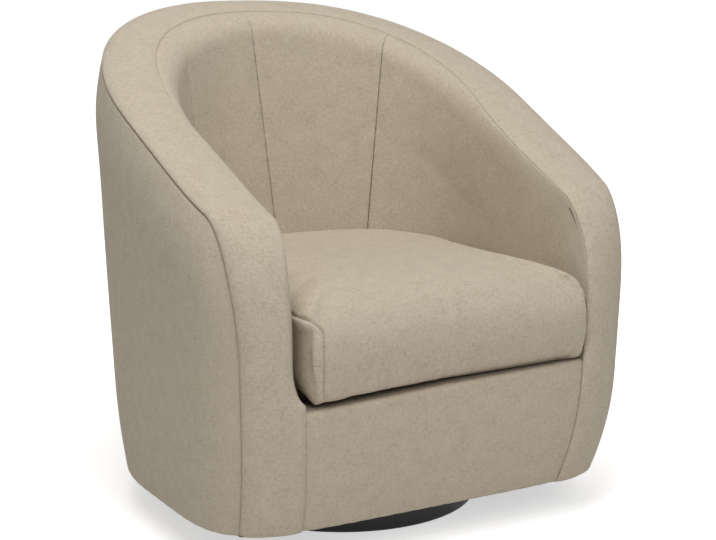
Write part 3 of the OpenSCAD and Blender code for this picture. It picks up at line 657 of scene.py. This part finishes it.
def baked(piece):
    # the evaluated shape as a plain mesh, with every modifier removed
    mesh = bpy.data.meshes.new_from_object(piece.evaluated_get(bpy.context.evaluated_depsgraph_get()))
    piece.modifiers.clear()
    piece.data = mesh
    return piece


# Stitches, staples and straps follow wires, by Geometry Nodes
stitch = {"Pitch": 0.0046, "Length": 0.0034, "Width": 0.0008, "Height": 0.0007}
staple = {"Pitch": 0.038, "Length": 0.0125, "Width": 0.0013, "Height": 0.0010}
strap = {"Width": 0.060, "Thickness": 0.0016}


def startTree(name, sizes):
    tree = building["tree"] = bpy.data.node_groups.new(name, "GeometryNodeTree")
    tree.interface.new_socket("Wire", in_out="INPUT", socket_type="NodeSocketGeometry")
    for word in sizes:
        tree.interface.new_socket(word, in_out="INPUT", socket_type="NodeSocketFloat")
    tree.interface.new_socket("Made", in_out="OUTPUT", socket_type="NodeSocketGeometry")
    start = addNode("NodeGroupInput")
    return start, addNode("GeometryNodeMeshToCurve", {"Mesh": (start, "Wire")})


def endTree(made, material):
    real = addNode("GeometryNodeRealizeInstances", {0: made})
    paint = addNode("GeometryNodeSetMaterial", {0: real, "Material": material})
    addNode("NodeGroupOutput", {"Made": paint})
    return building["tree"]


def rowTree(name, one, form, sizes, material):
    # one small shape, repeated along the wire and turned to follow it
    start, line = startTree(name, sizes)
    walk = addNode("GeometryNodeResampleCurve", {"Curve": line, "Length": (start, "Pitch")}, mode="LENGTH")
    way = addNode("GeometryNodeInputTangent")
    turn = addNode("FunctionNodeAlignRotationToVector", {"Vector": way}, axis="X")
    size = addNode("CombineXYZ", {"X": (start, "Length"), "Y": (start, "Width"), "Z": (start, "Height")})
    row = addNode("GeometryNodeInstanceOnPoints",
                  {"Points": walk, "Instance": addNode(one, form), "Rotation": turn, "Scale": size})
    return endTree(row, material)


def strapTree():
    # a flat strap drawn along the wire
    start, line = startTree("strapAlongWire", strap)
    flat = addNode("GeometryNodeSetCurveNormal", {"Curve": line}, mode="Z_UP")
    section = addNode("GeometryNodeCurvePrimitiveQuadrilateral",
                      {"Width": (start, "Width"), "Height": (start, "Thickness")})
    web = addNode("GeometryNodeCurveToMesh", {"Curve": flat, "Profile Curve": section, "Fill Caps": True})
    return endTree(web, webbing)


stitchRow = rowTree("stitchesAlongWire", "GeometryNodeMeshIcoSphere", {"Radius": 0.5, "Subdivisions": 1},
                    stitch, thread)
stapleRow = rowTree("staplesAlongWire", "GeometryNodeMeshCube", {"Size": (1, 1, 1)}, staple, stapleWire)


def wires(lines):
    # several lines of points as one set of points and edges
    edges, n = [], 0
    for line in lines:
        edges += [(n + i, n + i + 1) for i in range(len(line) - 1)]
        n += len(line)
    return joined(lines), edges


def alongWires(name, verts, edges, tree, sizes, smooth):
    mesh = bpy.data.meshes.new(name)
    mesh.from_pydata(verts.tolist(), edges, [])
    piece = newObject(name, mesh)
    follow = piece.modifiers.new("follow", "NODES")
    follow.node_group = tree
    for socket in tree.interface.items_tree:
        if socket.name in sizes:
            follow[socket.identifier] = sizes[socket.name]
    baked(piece)
    piece.data.polygons.foreach_set("use_smooth", [smooth] * len(piece.data.polygons))
    return piece


# Outside cover: two sides and the back, sewn together at the rear seams
cover = {"thickness": 0.010, "height": 0.62, "pastFront": 2.008, "hemDepth": 0.006, "threadFoot": 0.012,
         "threadTop": 0.006, "threadIn": 0.0004}


def coverPanel(name, stations, edges, node, seed):
    u, v = np.meshgrid(stations, rows(cover["height"]), indexing="ij")
    top = topZ(u) - tub.join
    z = mix(tub.bottom, top, v)
    face = wall(u, roundIn(u, z), z)
    zIn = mix(tub.bottom, top - drop(u) * cover["thickness"] / (innerEdge(u, z) - shoulder(u)), v)
    back = wall(u, cover["thickness"] + roundIn(u, zIn), zIn)
    return sewnPanel(name, face, back, edges, node, seed)


def stationRow(a, b, fine):
    # evenly walked stations between two seams
    dense = np.linspace(a, b, 400)
    way = arcs(planOut(np.abs(dense)), 0)
    return np.interp(rows(way[-1], fine) * way[-1], way, dense)


seamEdge, hemEdge = (sewing["roll"], sewing["depth"]), (sewing["hem"], cover["hemDepth"])
gapShare = tub.join / tub.halfW
kneeTurn = np.radians(np.linspace(0, 90, 44))
sideStations = joined([stationRow(tub.rearSeam, kneeStation(0), (True, False))[:-1], kneeStation(kneeTurn),
                       [cover["pastFront"]]])
sideEdges = {"start": seamEdge, "end": seamEdge, "foot": hemEdge, "top": seamEdge}
coverPanel("outsideRight", sideStations, sideEdges, "outside_right", 11)
coverPanel("outsideLeft", -sideStations, sideEdges, "outside_left", 12)
coverPanel("outsideBack", stationRow(gapShare - tub.rearSeam, tub.rearSeam - gapShare, (True, True)), sideEdges,
           "outside_back", 13)
print("outside cover sewn")

# Border band over the wall, down the knees and the arm fronts
band = {"across": 34, "down": 66, "cornerShare": 0.12, "round": 2.4, "crownPower": 0.6, "ripple": 0.9,
        "hem": 0.008, "hemReach": 0.010, "hemShare": 0.6, "threadIn": 0.0010, "threadEnds": slice(6, -6)}


def bandCrown(s, front):
    # rise across the band; its inner seam lies higher on top of the wall than at the arm's front
    edge = np.where(s > 0.5, mix(tub.innerEdge, tub.outerEdge, front), tub.outerEdge)
    return mix(edge, 1, (1 - np.abs(2 * s - 1) ** band["round"]) ** band["crownPower"])


def bandHalf(side):
    # rings from the back centre to an arm's foot: bases across the band, and the way its crown faces
    s = (1 - np.cos(np.linspace(0, np.pi, band["across"]))) / 2
    top = side * joined([stationRow(0.0, kneeStation(0), (False, False))[:-1], kneeStation(kneeTurn)])
    u, f = np.meshgrid(top, s, indexing="ij")
    z = topZ(u)
    rim = wall(u, mix(shoulder(u), innerEdge(u, z), f), z - drop(u) * f)
    legZ = np.linspace(topZ(np.array(2.0)) - tub.join, tub.bottom, band["down"])[1:]
    z, f = np.meshgrid(legZ, s, indexing="ij")
    foot = np.full_like(z, side * 2.0)
    bases = joined([rim, wall(foot, innerEdge(foot, z) * f, z)])
    faces = joined([bandWay(u), forwardOf(z) * [side, 1, 1]])
    front = joined([knee(top) ** 2, np.ones(len(legZ))])
    pulled = cornerPull(foot[:, 0], legZ)
    turned = joined([cornerDrop(top), cornerDrop(side * 2.0) * pulled / pulled.max()])
    return s, bases, faces, front, turned


def makeBand():
    s, *right = bandHalf(1)
    left = bandHalf(-1)[1:]
    bases, ways, front, turned = (joined([a[:0:-1], b]) for a, b in zip(left, right))
    front, turned = front[:, None], turned[:, None]
    crown = bandCrown(s[None, :], front)
    corner = turned * (1 - arc((s[None, :] - 1) / band["cornerShare"] + 1))
    lift = tub.join + tub.crown * crown - corner
    walked = arcs(bases[:, len(s) // 2], 0)
    endGap = np.minimum(walked, walked[-1] - walked)
    hem = band["hem"] * (1 - arc(1 - endGap / band["hemReach"]))
    rise = sewing["ripple"] * band["ripple"] * wander(bases, 21) * crown
    outer = bases + ways * (lift + rise - hem[:, None] * band["hemShare"])[..., None]
    inner = bases + ways * (tub.join - corner)[..., None]
    m, n = outer.shape[:2]
    across = arcs(outer, 1)
    ring = joined([outer, inner[:, ::-1]], 1)
    k = ring.shape[1]
    i, j = np.meshgrid(np.arange(m - 1) * k, np.arange(k), indexing="ij")
    after = (j + 1) % k
    quads = packed(i + j, i + k + j, i + k + after, i + after).reshape(-1, 4).tolist()
    for row in (0, (m - 1) * k):
        for q in range(n - 1):
            cap = [row + q, row + q + 1, row + k - 2 - q, row + k - 1 - q]
            quads.append(cap if row == 0 else cap[::-1])
    # distance from the band's two seams, for the puckers and the painted seam shadow
    gap = np.minimum(across, across[:, -1:] - across)
    along = np.repeat(walked[:, None], 2 * n, 1).ravel()
    uvs = {"weave": joined([across, across[:, ::-1]], 1), "seam": joined([gap, gap], 1)}
    uvs = {key: packed(along, values.ravel()) for key, values in uvs.items()}
    piece = buildMesh("borderBand", ring.reshape(-1, 3), quads, uvs, upholsteryCloth)
    dress(piece, "shell", ["border_band"])
    return [(bases + ways * (lift - band["threadIn"])[..., None])[band["threadEnds"], k] for k in (0, -1)]


shellSeams = makeBand()
for side in (1, -1):
    rear = np.array(tub.rearSeam)
    z = np.linspace(tub.bottom + cover["threadFoot"], float(topZ(rear)) - cover["threadTop"], 120)
    shellSeams.append(wall(side * rear, roundIn(rear, z) + sewing["depth"] - cover["threadIn"], z))
print("border band sewn")

# Inside pads: two on the back, one on each arm
pads = {"thickness": 0.034, "puff": 0.006, "drawIn": 0.12, "topSeam": 0.12, "fade": 0.7, "slant": 0.105,
        "height": 0.42, "backWide": 0.19, "armLong": 0.40, "edge": (0.0048, 0.0022), "openEdge": (0.003, 0.0006),
        "topEdge": (0.003, 0.0005), "threadOut": 0.0003, "threadEnds": slice(6, -12)}


def insidePad(name, lo, hi, shares, openEnd, side, node, seed):
    f, v = np.meshgrid(shares, rows(pads["height"]), indexing="ij")
    rim = mix(lo[1], hi[1], f)
    top = topZ(rim) - drop(rim)
    z = mix(tub.deckZ + tub.join, top, v)
    u = mix(mix(lo[0], lo[1], v), mix(hi[0], hi[1], v), f)
    low = clamp01((top - z) / tub.fullH)
    full = (1 - np.abs(2 * f - 1) ** 4) ** 0.5
    if openEnd:
        full = np.where(f > 0.5, 1, full)
    filled = full * np.sin(np.pi * np.minimum(v + pads["drawIn"], 0.5)) ** 0.5
    puff = pads["puff"] * (1 - filled) * clamp01(low * 4)
    fade = mix(1.0, pads["topSeam"], v ** pads["fade"])
    u = side * u
    deep = depthAt(u, z, low) - puff
    upTo = (seamRise(u) - cornerDrop(u)) * arc(low * tub.fullH / tub.rollH)
    rise = bandWay(u) * upTo[..., None]
    face = wall(u, deep, z) + rise
    back = wall(u, innerEdge(u, z) - pads["thickness"], mix(z, z - pads["thickness"] / 4, v ** 8))
    edges = {"start": pads["edge"], "end": pads["openEdge" if openEnd else "edge"], "foot": seamEdge,
             "top": pads["topEdge"]}
    if side > 0 or openEnd:
        sunk = wall(u, deep - pads["edge"][1] * fade + pads["threadOut"], z) + rise
        shellSeams.append(sunk[0, pads["threadEnds"]])
    return sewnPanel(name, face, back, edges, node, seed, fade)


padGap = tub.join / tub.insideW
backShares = rows(pads["backWide"])
armLo, armHi = (tub.seamLow + padGap, tub.seamHigh + padGap), (2.0, 2.0)
kneeShare = (kneeStation(kneeTurn) - tub.seamHigh) / (2 - tub.seamHigh)
armShares = joined([rows(pads["armLong"], (True, False)) * kneeShare[0], kneeShare[1:]])
for side, word in ((1, "Right"), (-1, "Left")):
    low = word.lower()
    insidePad("insideBack" + word, (padGap, padGap - side * pads["slant"]),
              (tub.seamLow - padGap, tub.seamHigh - padGap), backShares, False, side, "inside_back_" + low,
              31 + side)
    insidePad("insideArm" + word, armLo, armHi, armShares, True, side, "inside_arm_" + low, 41 + side)
print("inside pads sewn")

# Front panel under the cushion
panel = {"bow": 0.007, "lower": 0.0018, "tuck": 0.0022, "roll": 0.0075, "tilt": (0.0120, 0.0070),
         "width": 0.5, "height": 0.205, "sideEdge": (0.0045, 0.0024), "topEdge": (0.006, 0.003)}


def frontPanel():
    # its top edge runs a little lower on the left and higher on the right, and rolls back under the cushion
    f, v = np.meshgrid(1 - 2 * rows(panel["width"]), rows(panel["height"]), indexing="ij")
    topRoll, top = panel["roll"], tub.deckZ - panel["lower"]
    flat = mix(tub.bottom, top, v)
    top = top + sided(f, panel["tilt"]) * f
    z = mix(tub.bottom, top, v)
    end = wall(2.0, wallT(np.array(2.0)), z)
    e = np.maximum(0, z - (top - topRoll))
    x = f * (end[..., 0] + panel["tuck"])
    y = end[..., 1] - panel["bow"] * (1 - np.abs(f) ** 6) ** 0.5
    face = packed(x, y + topRoll - np.sqrt(np.maximum(0, topRoll ** 2 - e ** 2)), z)
    back = packed(x, np.full_like(x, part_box("front_rail")[0][1] - tub.join), np.minimum(z, flat))
    edges = {"start": panel["sideEdge"], "end": panel["sideEdge"], "foot": hemEdge, "top": panel["topEdge"]}
    return sewnPanel("frontPanel", face, back, edges, "front_panel", 51)


frontPanel()
print("front panel sewn")

# Seat deck: woven straps under a felt pad, and the dust cloth stapled under the frame
deck = {"inset": 0.017, "endStation": 1.9, "top": 0.2609, "bottom": 0.2451, "edge": 0.007, "ripple": 0.0006,
        "around": 260, "ringsUnder": (0.15, 0.35, 0.55, 0.75, 0.9),
        "ringsOver": (0.95, 0.88, 0.8, 0.7, 0.6, 0.5, 0.4, 0.3, 0.2, 0.1)}
straps = {"pitch": 0.095, "weave": 0.0010, "across": 0.2417, "along": 0.2437, "step": 0.006}
dust = {"inset": 0.026, "endStation": 1.88, "opening": 0.1515, "z": 0.0569, "thickness": 0.0005, "sag": 0.0018,
        "stapleIn": 0.009, "stapleOut": 0.0008, "around": 288, "rings": 16}


def evenLoop(half, front, count):
    # a right-hand half outline closed over the front and mirrored, walked evenly
    half = half.copy()
    half[:, 1] = np.maximum(half[:, 1], front)
    right = joined([half, [[half[-1, 0], front]]])
    loop = joined([right, (right * [-1, 1])[::-1]])
    way = arcs(loop, 0)
    spots = np.linspace(0, way[-1], count, endpoint=False)
    return np.stack([np.interp(spots, way, loop[:, k]) for k in (0, 1)], -1)


def ringFaces(k, m, closed):
    # m rings of k points as one skin; closed joins the last to the first, else two middle points close the ends
    faces = [(i * k + j, i * k + (j + 1) % k, (i + 1) % m * k + (j + 1) % k, (i + 1) % m * k + j)
             for i in range(m if closed else m - 1) for j in range(k)]
    if not closed:
        faces += [(m * k, (j + 1) % k, j) for j in range(k)]
        faces += [(m * k + 1, (m - 1) * k + j, (m - 1) * k + (j + 1) % k) for j in range(k)]
    return faces


def ringMesh(name, rings, material, closed):
    ends = [] if closed else [[rings[0].mean(0), rings[-1].mean(0)]]
    faces = ringFaces(len(rings[0]), len(rings), closed)
    return buildMesh(name, joined([*rings, *ends]), faces, {}, material)


def level(xy, z):
    return np.column_stack([xy, np.full(len(xy), z)])


def halfStations(end):
    return joined([np.linspace(0, 1, 60), np.linspace(1, end, 40)[1:]])


def makeDeck():
    u = halfStations(deck["endStation"])
    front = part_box("front_rail")[0][1] + tub.join
    loop = evenLoop(wall(u, wallT(u) - deck["inset"], tub.deckZ)[:, :2], front, deck["around"])
    out = unit(np.roll(loop, -1, 0) - np.roll(loop, 1, 0))
    normal = packed(out[:, 1], -out[:, 0])
    normal *= np.sign(np.sum(normal * loop, axis=1).mean())
    mid = np.array([0, loop[:, 1].mean()])
    rings = [level(mix(mid, loop, share), deck["bottom"]) for share in deck["ringsUnder"]]
    for turn in np.linspace(-90, 90, 13):
        c, t = math.cos(math.radians(turn)), math.sin(math.radians(turn))
        z = (deck["bottom"] + deck["top"]) / 2 + (deck["top"] - deck["bottom"]) / 2 * t
        rings.append(level(loop - normal * deck["edge"] * (1 - c), z))
    for share in deck["ringsOver"]:
        ring = level(mix(mid, loop, share), deck["top"])
        ring[:, 2] -= deck["ripple"] * (1 + wander(ring, 71))
        rings.append(ring)
    piece = ringMesh("deckPad", rings, felt, False)
    return dress(piece, "shell", ["deck_pad"])


def makeStraps():
    co = points(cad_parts["seat_straps"].data)
    low = co[np.abs(co[:, 2] - co[:, 2].min()) < 0.0001]
    high = co[np.abs(co[:, 2] - co[:, 2].max()) < 0.0001]
    first = low[:, 1].min() + strap["Width"] / 2
    lines = []
    for i in range(5):
        y = first + i * straps["pitch"]
        end = np.abs(low[np.abs(low[:, 1] - y) < strap["Width"]][:, 0]).max()
        x = np.arange(-end, end, straps["step"])
        z = straps["across"] + straps["weave"] * np.cos(np.pi * x / straps["pitch"]) * (-1) ** i
        lines.append(packed(x, np.full_like(x, y), z))
    for i in range(-2, 3):
        x = i * straps["pitch"]
        near = high[np.abs(high[:, 0] - x) < strap["Width"]][:, 1]
        y = np.arange(near.min(), near.max(), straps["step"])
        z = straps["along"] - straps["weave"] * (-1) ** i * np.cos(np.pi * (y - first) / straps["pitch"])
        lines.append(packed(np.full_like(y, x), y, z))
    piece = alongWires("seatStraps", *wires(lines), strapTree(), strap, False)
    return dress(piece, "shell", ["seat_straps"])


def makeDustCloth():
    outline = wall(halfStations(dust["endStation"]), dust["inset"], tub.bottom)[:, :2]
    loop = evenLoop(outline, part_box("front_rail")[0][1], dust["around"])
    hole = loop / np.maximum(np.abs(loop[:, 0]), np.abs(loop[:, 1]))[:, None] * dust["opening"]
    upper = [level(mix(hole, loop, f), dust["z"] - dust["sag"] * np.sin(np.pi * f))
             for f in np.linspace(0, 1, dust["rings"])]
    lower = [ring - [0, 0, dust["thickness"]] for ring in upper[::-1]]
    piece = ringMesh("bottomCloth", upper + lower, dustCloth, True)
    line = level(loop - unit(loop) * dust["stapleIn"], dust["z"] - dust["thickness"] - dust["stapleOut"])
    pins = alongWires("dustClothStaples", *wires([joined([line, line[:1]])]), stapleRow, staple, False)
    dress(pins, "shell", [])
    dress(piece, "shell", ["bottom_cloth"])


makeStraps()
makeDeck()
makeDustCloth()
print("deck, straps and dust cloth laid")

# Seat cushion: swollen by a cloth simulation, then its gusset seams are sewn in
# Pairs are left and right. Its outline, roll and crown come first, then the simulation, then the settling of
# the used cushion, then its seams and the unevenness of its stuffing.
cushion = {"thickness": 0.142, "crown": 0.024, "over": 0.016, "play": 0.0025, "roll": 0.052,
           "square": (15.0, 26.0), "wider": (0.0085, 0.0060), "sideRoll": (1.0, 0.5), "lowRows": 0.3,
           "voxel": 0.006, "pressure": 4.0, "stiffness": 15, "frames": 20, "given": 0.32, "cap": 0.006,
           "waist": (0.0095, 0.0), "waistFrom": (0.008, 0.016), "waistTo": (0.05, 0.10),
           "waistTop": (0.118, 0.022), "waistIn": (0.055, 0.045), "tilt": (-0.0210, 0.0085), "tiltFrom": -0.302,
           "tiltReach": 0.036, "tiltHigh": 0.09, "seamIn": (0.034, 0.008), "seamUp": 0.121, "seamTurn": 0.028,
           "seamDepth": 0.0024, "seamWide": 0.0026, "finer": 0.007, "seamFoot": 0.1, "pucker": 0.0006,
           "puckerReach": 0.010, "puckerPitch": 0.033, "ripple": 0.0011, "footFade": 0.01, "calmBelow": 0.05,
           "calmSeam": 0.02, "underside": 0.004, "noSeam": 0.05, "stitchFrom": 0.008, "overfill": 1.02,
           "around": 240}
cush = SimpleNamespace(**cushion)
cushW = tub.insideFrontX - cush.play
cushBack = tub.insideBack - cush.play - pads["puff"]
cushFront = tub.planY - tub.insideFrontY + cush.over
cushZ = tub.deckZ + 2 * tub.join
cushRows = [[1.0, .72, 0], [.8, .50, .022], [.5, .32, .065], [.22, .16, .15], [.1, .04, .29], [.02, 0, .43],
            [.03, .03, .56], [.1, .10, .68], [.3, .24, .79], [.8, .44, .89], [1.5, .70, .965], [2.5, 1, 1.015]]
crownRows = [[.86, .34], [.68, .62], [.48, .84], [.26, .96]]


def cushOutline(a):
    # plan of the cushion about the shell's centre, widening to the arms' front corners
    back = np.cos(a) > 0
    p = np.where(back, tub.insideRound, sided(np.sin(a), cush.square))
    d = np.where(back, cushBack, cushFront)
    r = curve(a, cushW, d, p)
    q = packed(r * np.sin(a), r * np.cos(a))
    n = packed(np.sign(q[..., 0]) * (np.abs(q[..., 0]) / cushW) ** (p - 1) / cushW,
               np.sign(q[..., 1]) * (np.abs(q[..., 1]) / d) ** (p - 1) / d)
    k = clamp01(1 - (q[..., 1] + tub.planY - tub.armFrontY) / tub.kneeReach)
    q[..., 0] *= 1 + sided(q[..., 0], cush.wider) / cushW * k ** 2
    return q, unit(n)


def cushionBlank():
    a = np.linspace(0, 2 * np.pi, cush.around, endpoint=False)
    q, n = cushOutline(a)
    frontness = np.where(n[:, 1] < 0, n[:, 1] ** 2, 0)[:, None]
    sideRoll = sided(q[:, 0], cush.sideRoll)[:, None]
    rings = []
    for side, front, rise in cushRows:
        sideways = cush.roll / 4 * side * (sideRoll if rise < cush.lowRows else 1)
        p = q - n * mix(sideways, cush.roll * front, frontness)
        rings.append((p, cushZ + cush.thickness * rise))
    last, lastZ = rings[-1]
    rings += [(last * shrink, lastZ + cush.crown * rise) for shrink, rise in crownRows]
    midY = (cushBack - cushFront) / 8 + tub.planY
    verts = [(x, y + tub.planY + leanAt(y + tub.planY, z), z) for p, z in rings for x, y in p]
    verts += [(0, midY, cushZ), (0, midY, lastZ + cush.crown)]
    mesh = bpy.data.meshes.new("seatCushion")
    mesh.from_pydata(verts, [], ringFaces(len(a), len(rings), False))
    return newObject("seatCushion", mesh)


def held(co):
    # the stuffed cushion stays within its place: flat below, snug between the pads, free in front and above
    lean = leanAt(co[:, 1], co[:, 2])
    x, y = co[:, 0], co[:, 1] - tub.planY - lean
    q, _ = cushOutline(np.arctan2(x, y))
    reach = np.linalg.norm(q, axis=-1)
    far = np.hypot(x, y)
    limit = np.where(far > reach, reach / np.maximum(far, 1e-9), 1)
    co[:, 0], co[:, 1] = x * limit, y * limit + tub.planY + lean
    co[:, 2] = np.clip(co[:, 2], cushZ, cushZ + cush.thickness * cush.overfill + cush.crown)
    return co


def droop(co):
    # behind the front corners the sides draw in, below the swell of the top
    behind = co[:, 1] - (tub.planY - cushFront)
    (fromY, fromSoft), (toY, toSoft) = cush.waistFrom, cush.waistTo
    (upTo, upSoft), (wide, wideSoft) = cush.waistTop, cush.waistIn
    along = eased((behind - fromY) / fromSoft) * (1 - eased((behind - toY) / toSoft))
    low = eased((cushZ + upTo - co[:, 2]) / upSoft)
    inward = np.sign(co[:, 0]) * sided(co[:, 0], cush.waist)
    co[:, 0] -= inward * along * low * clamp01((np.abs(co[:, 0]) - cushW + wide) / wideSoft)
    # the overhanging front edge sits a little lower on the left and higher on the right, as loose cushions do
    ahead = eased((cush.tiltFrom - co[:, 1]) / cush.tiltReach)
    share = ahead * clamp01(1 - (co[:, 2] - cushZ) / cush.tiltHigh) ** 2
    co[:, 2] += share * np.abs(co[:, 0]) / cushW * sided(co[:, 0], cush.tilt)
    return co


def swell(piece):
    # an even mesh, filled by a short cloth simulation; only part of the movement is kept, or the top wrinkles
    rest = piece.modifiers.new("even", "REMESH")
    rest.mode, rest.voxel_size = "VOXEL", cush.voxel
    baked(piece)
    start = points(piece.data)
    soft = piece.modifiers.new("stuffing", "CLOTH")
    stuff = soft.settings
    stuff.quality, stuff.use_pressure, stuff.uniform_pressure_force = 5, True, cush.pressure
    stuff.effector_weights.gravity = 0
    stuff.tension_stiffness = stuff.compression_stiffness = cush.stiffness
    for n in range(1, cush.frames + 1):
        scene.frame_set(n)
    baked(piece)
    scene.frame_set(1)
    co = points(piece.data)
    move = (co - start) * cush.given
    far = np.linalg.norm(move, axis=1, keepdims=True)
    co = start + move * np.minimum(1, cush.cap / np.maximum(far, 1e-9))
    piece.data.vertices.foreach_set("co", held(co).ravel())
    finer = piece.modifiers.new("finer", "SUBSURF")
    finer.levels = finer.render_levels = 1
    return baked(piece)


def gussetField(co):
    # signed metres from the gusset seam: positive on the side panels, negative on the top and front
    x, y = np.abs(co[:, 0]), co[:, 1] - tub.planY - leanAt(co[:, 1], co[:, 2])
    q, _ = cushOutline(np.arctan2(co[:, 0], y))
    inside = np.linalg.norm(q, axis=1) - np.hypot(x, y)
    edge = cushW + sided(co[:, 0], cush.wider) * clamp01(-y / cushFront) ** 2
    inside = np.where(y > 0, inside, edge - x)
    turn = cush.seamTurn
    a, b = sided(co[:, 0], cush.seamIn) - inside, cushZ + cush.seamUp - co[:, 2]
    return turn - np.hypot(np.maximum(turn - a, 0), np.maximum(turn - b, 0))


def fieldWire(mesh, field, keep):
    # the line where the field is nil, as points on the mesh's edges
    co, spots, verts, edges = points(mesh), {}, [], []
    sides = np.sign(field)
    for face in mesh.polygons:
        ids = list(face.vertices)
        if abs(sides[ids].sum()) == len(ids) or not keep[ids].all():
            continue
        ends = []
        for a, b in face.edge_keys:
            if sides[a] * sides[b] < 0:
                if (a, b) not in spots:
                    spots[a, b] = len(verts)
                    verts.append(mix(co[a], co[b], field[a] / (field[a] - field[b])))
                ends.append(spots[a, b])
        if len(ends) == 2:
            edges.append(tuple(ends))
    return np.array(verts), edges


def makeCushion():
    piece = swell(cushionBlank())
    mesh = piece.data
    co = points(mesh)
    bm = bmesh.new()
    bm.from_mesh(mesh)
    high = cushZ + cush.thickness * cush.seamFoot
    field = gussetField(co)
    near = [e for e in bm.edges if all(abs(field[v.index]) < cush.finer and v.co.z > high for v in e.verts)]
    bmesh.ops.subdivide_edges(bm, edges=near, cuts=1, use_grid_fill=True)
    bm.normal_update()
    bm.to_mesh(mesh)
    normal = np.array([v.normal[:] for v in bm.verts])
    bm.free()
    co = points(mesh)
    field = gussetField(co)
    above = clamp01((co[:, 2] - high) / cush.footFade)
    groove = cush.seamDepth * np.exp(-(field / cush.seamWide) ** 2) * above
    way = co[:, 1] + co[:, 2]
    waves = np.sin(way * 2 * np.pi / cush.puckerPitch + 2 * wander(co, 63))
    pull = cush.pucker * np.exp(-np.abs(field) / cush.puckerReach) * waves * above
    rise = (cush.ripple * wander(co, 61) * clamp01((co[:, 2] - cushZ) / cush.calmBelow)
            * clamp01(np.abs(field) / cush.calmSeam))
    co += normal * (rise + pull - groove)[:, None]
    co = droop(held(co))
    mesh.vertices.foreach_set("co", co.ravel())
    top = (field < 0) & (co[:, 2] > cushZ + cush.underside)
    weave = np.where(top[:, None], packed(co[:, 0], way), packed(co[:, 1] - np.abs(co[:, 0]), co[:, 2]))
    # distance from the gusset seam, for the puckers and the painted seam shadow; below the seam's foot it is set
    # far off so neither shows
    seam = packed(way, np.where(above > 0, np.abs(field), cush.noSeam))
    while mesh.uv_layers:
        mesh.uv_layers.remove(mesh.uv_layers[0])
    mesh.materials.clear()
    finishMesh(mesh, {"weave": weave, "seam": seam}, upholsteryCloth)
    dress(piece, "cushion", ["seat_cushion"])
    return fieldWire(mesh, field, co[:, 2] > high + cush.stitchFrom)


for name, body, wire in (("cushionStitches", "cushion", makeCushion()),
                         ("shellStitches", "shell", wires(shellSeams))):
    dress(alongWires(name, *wire, stitchRow, stitch, True), body, [])
print("seat cushion stuffed")
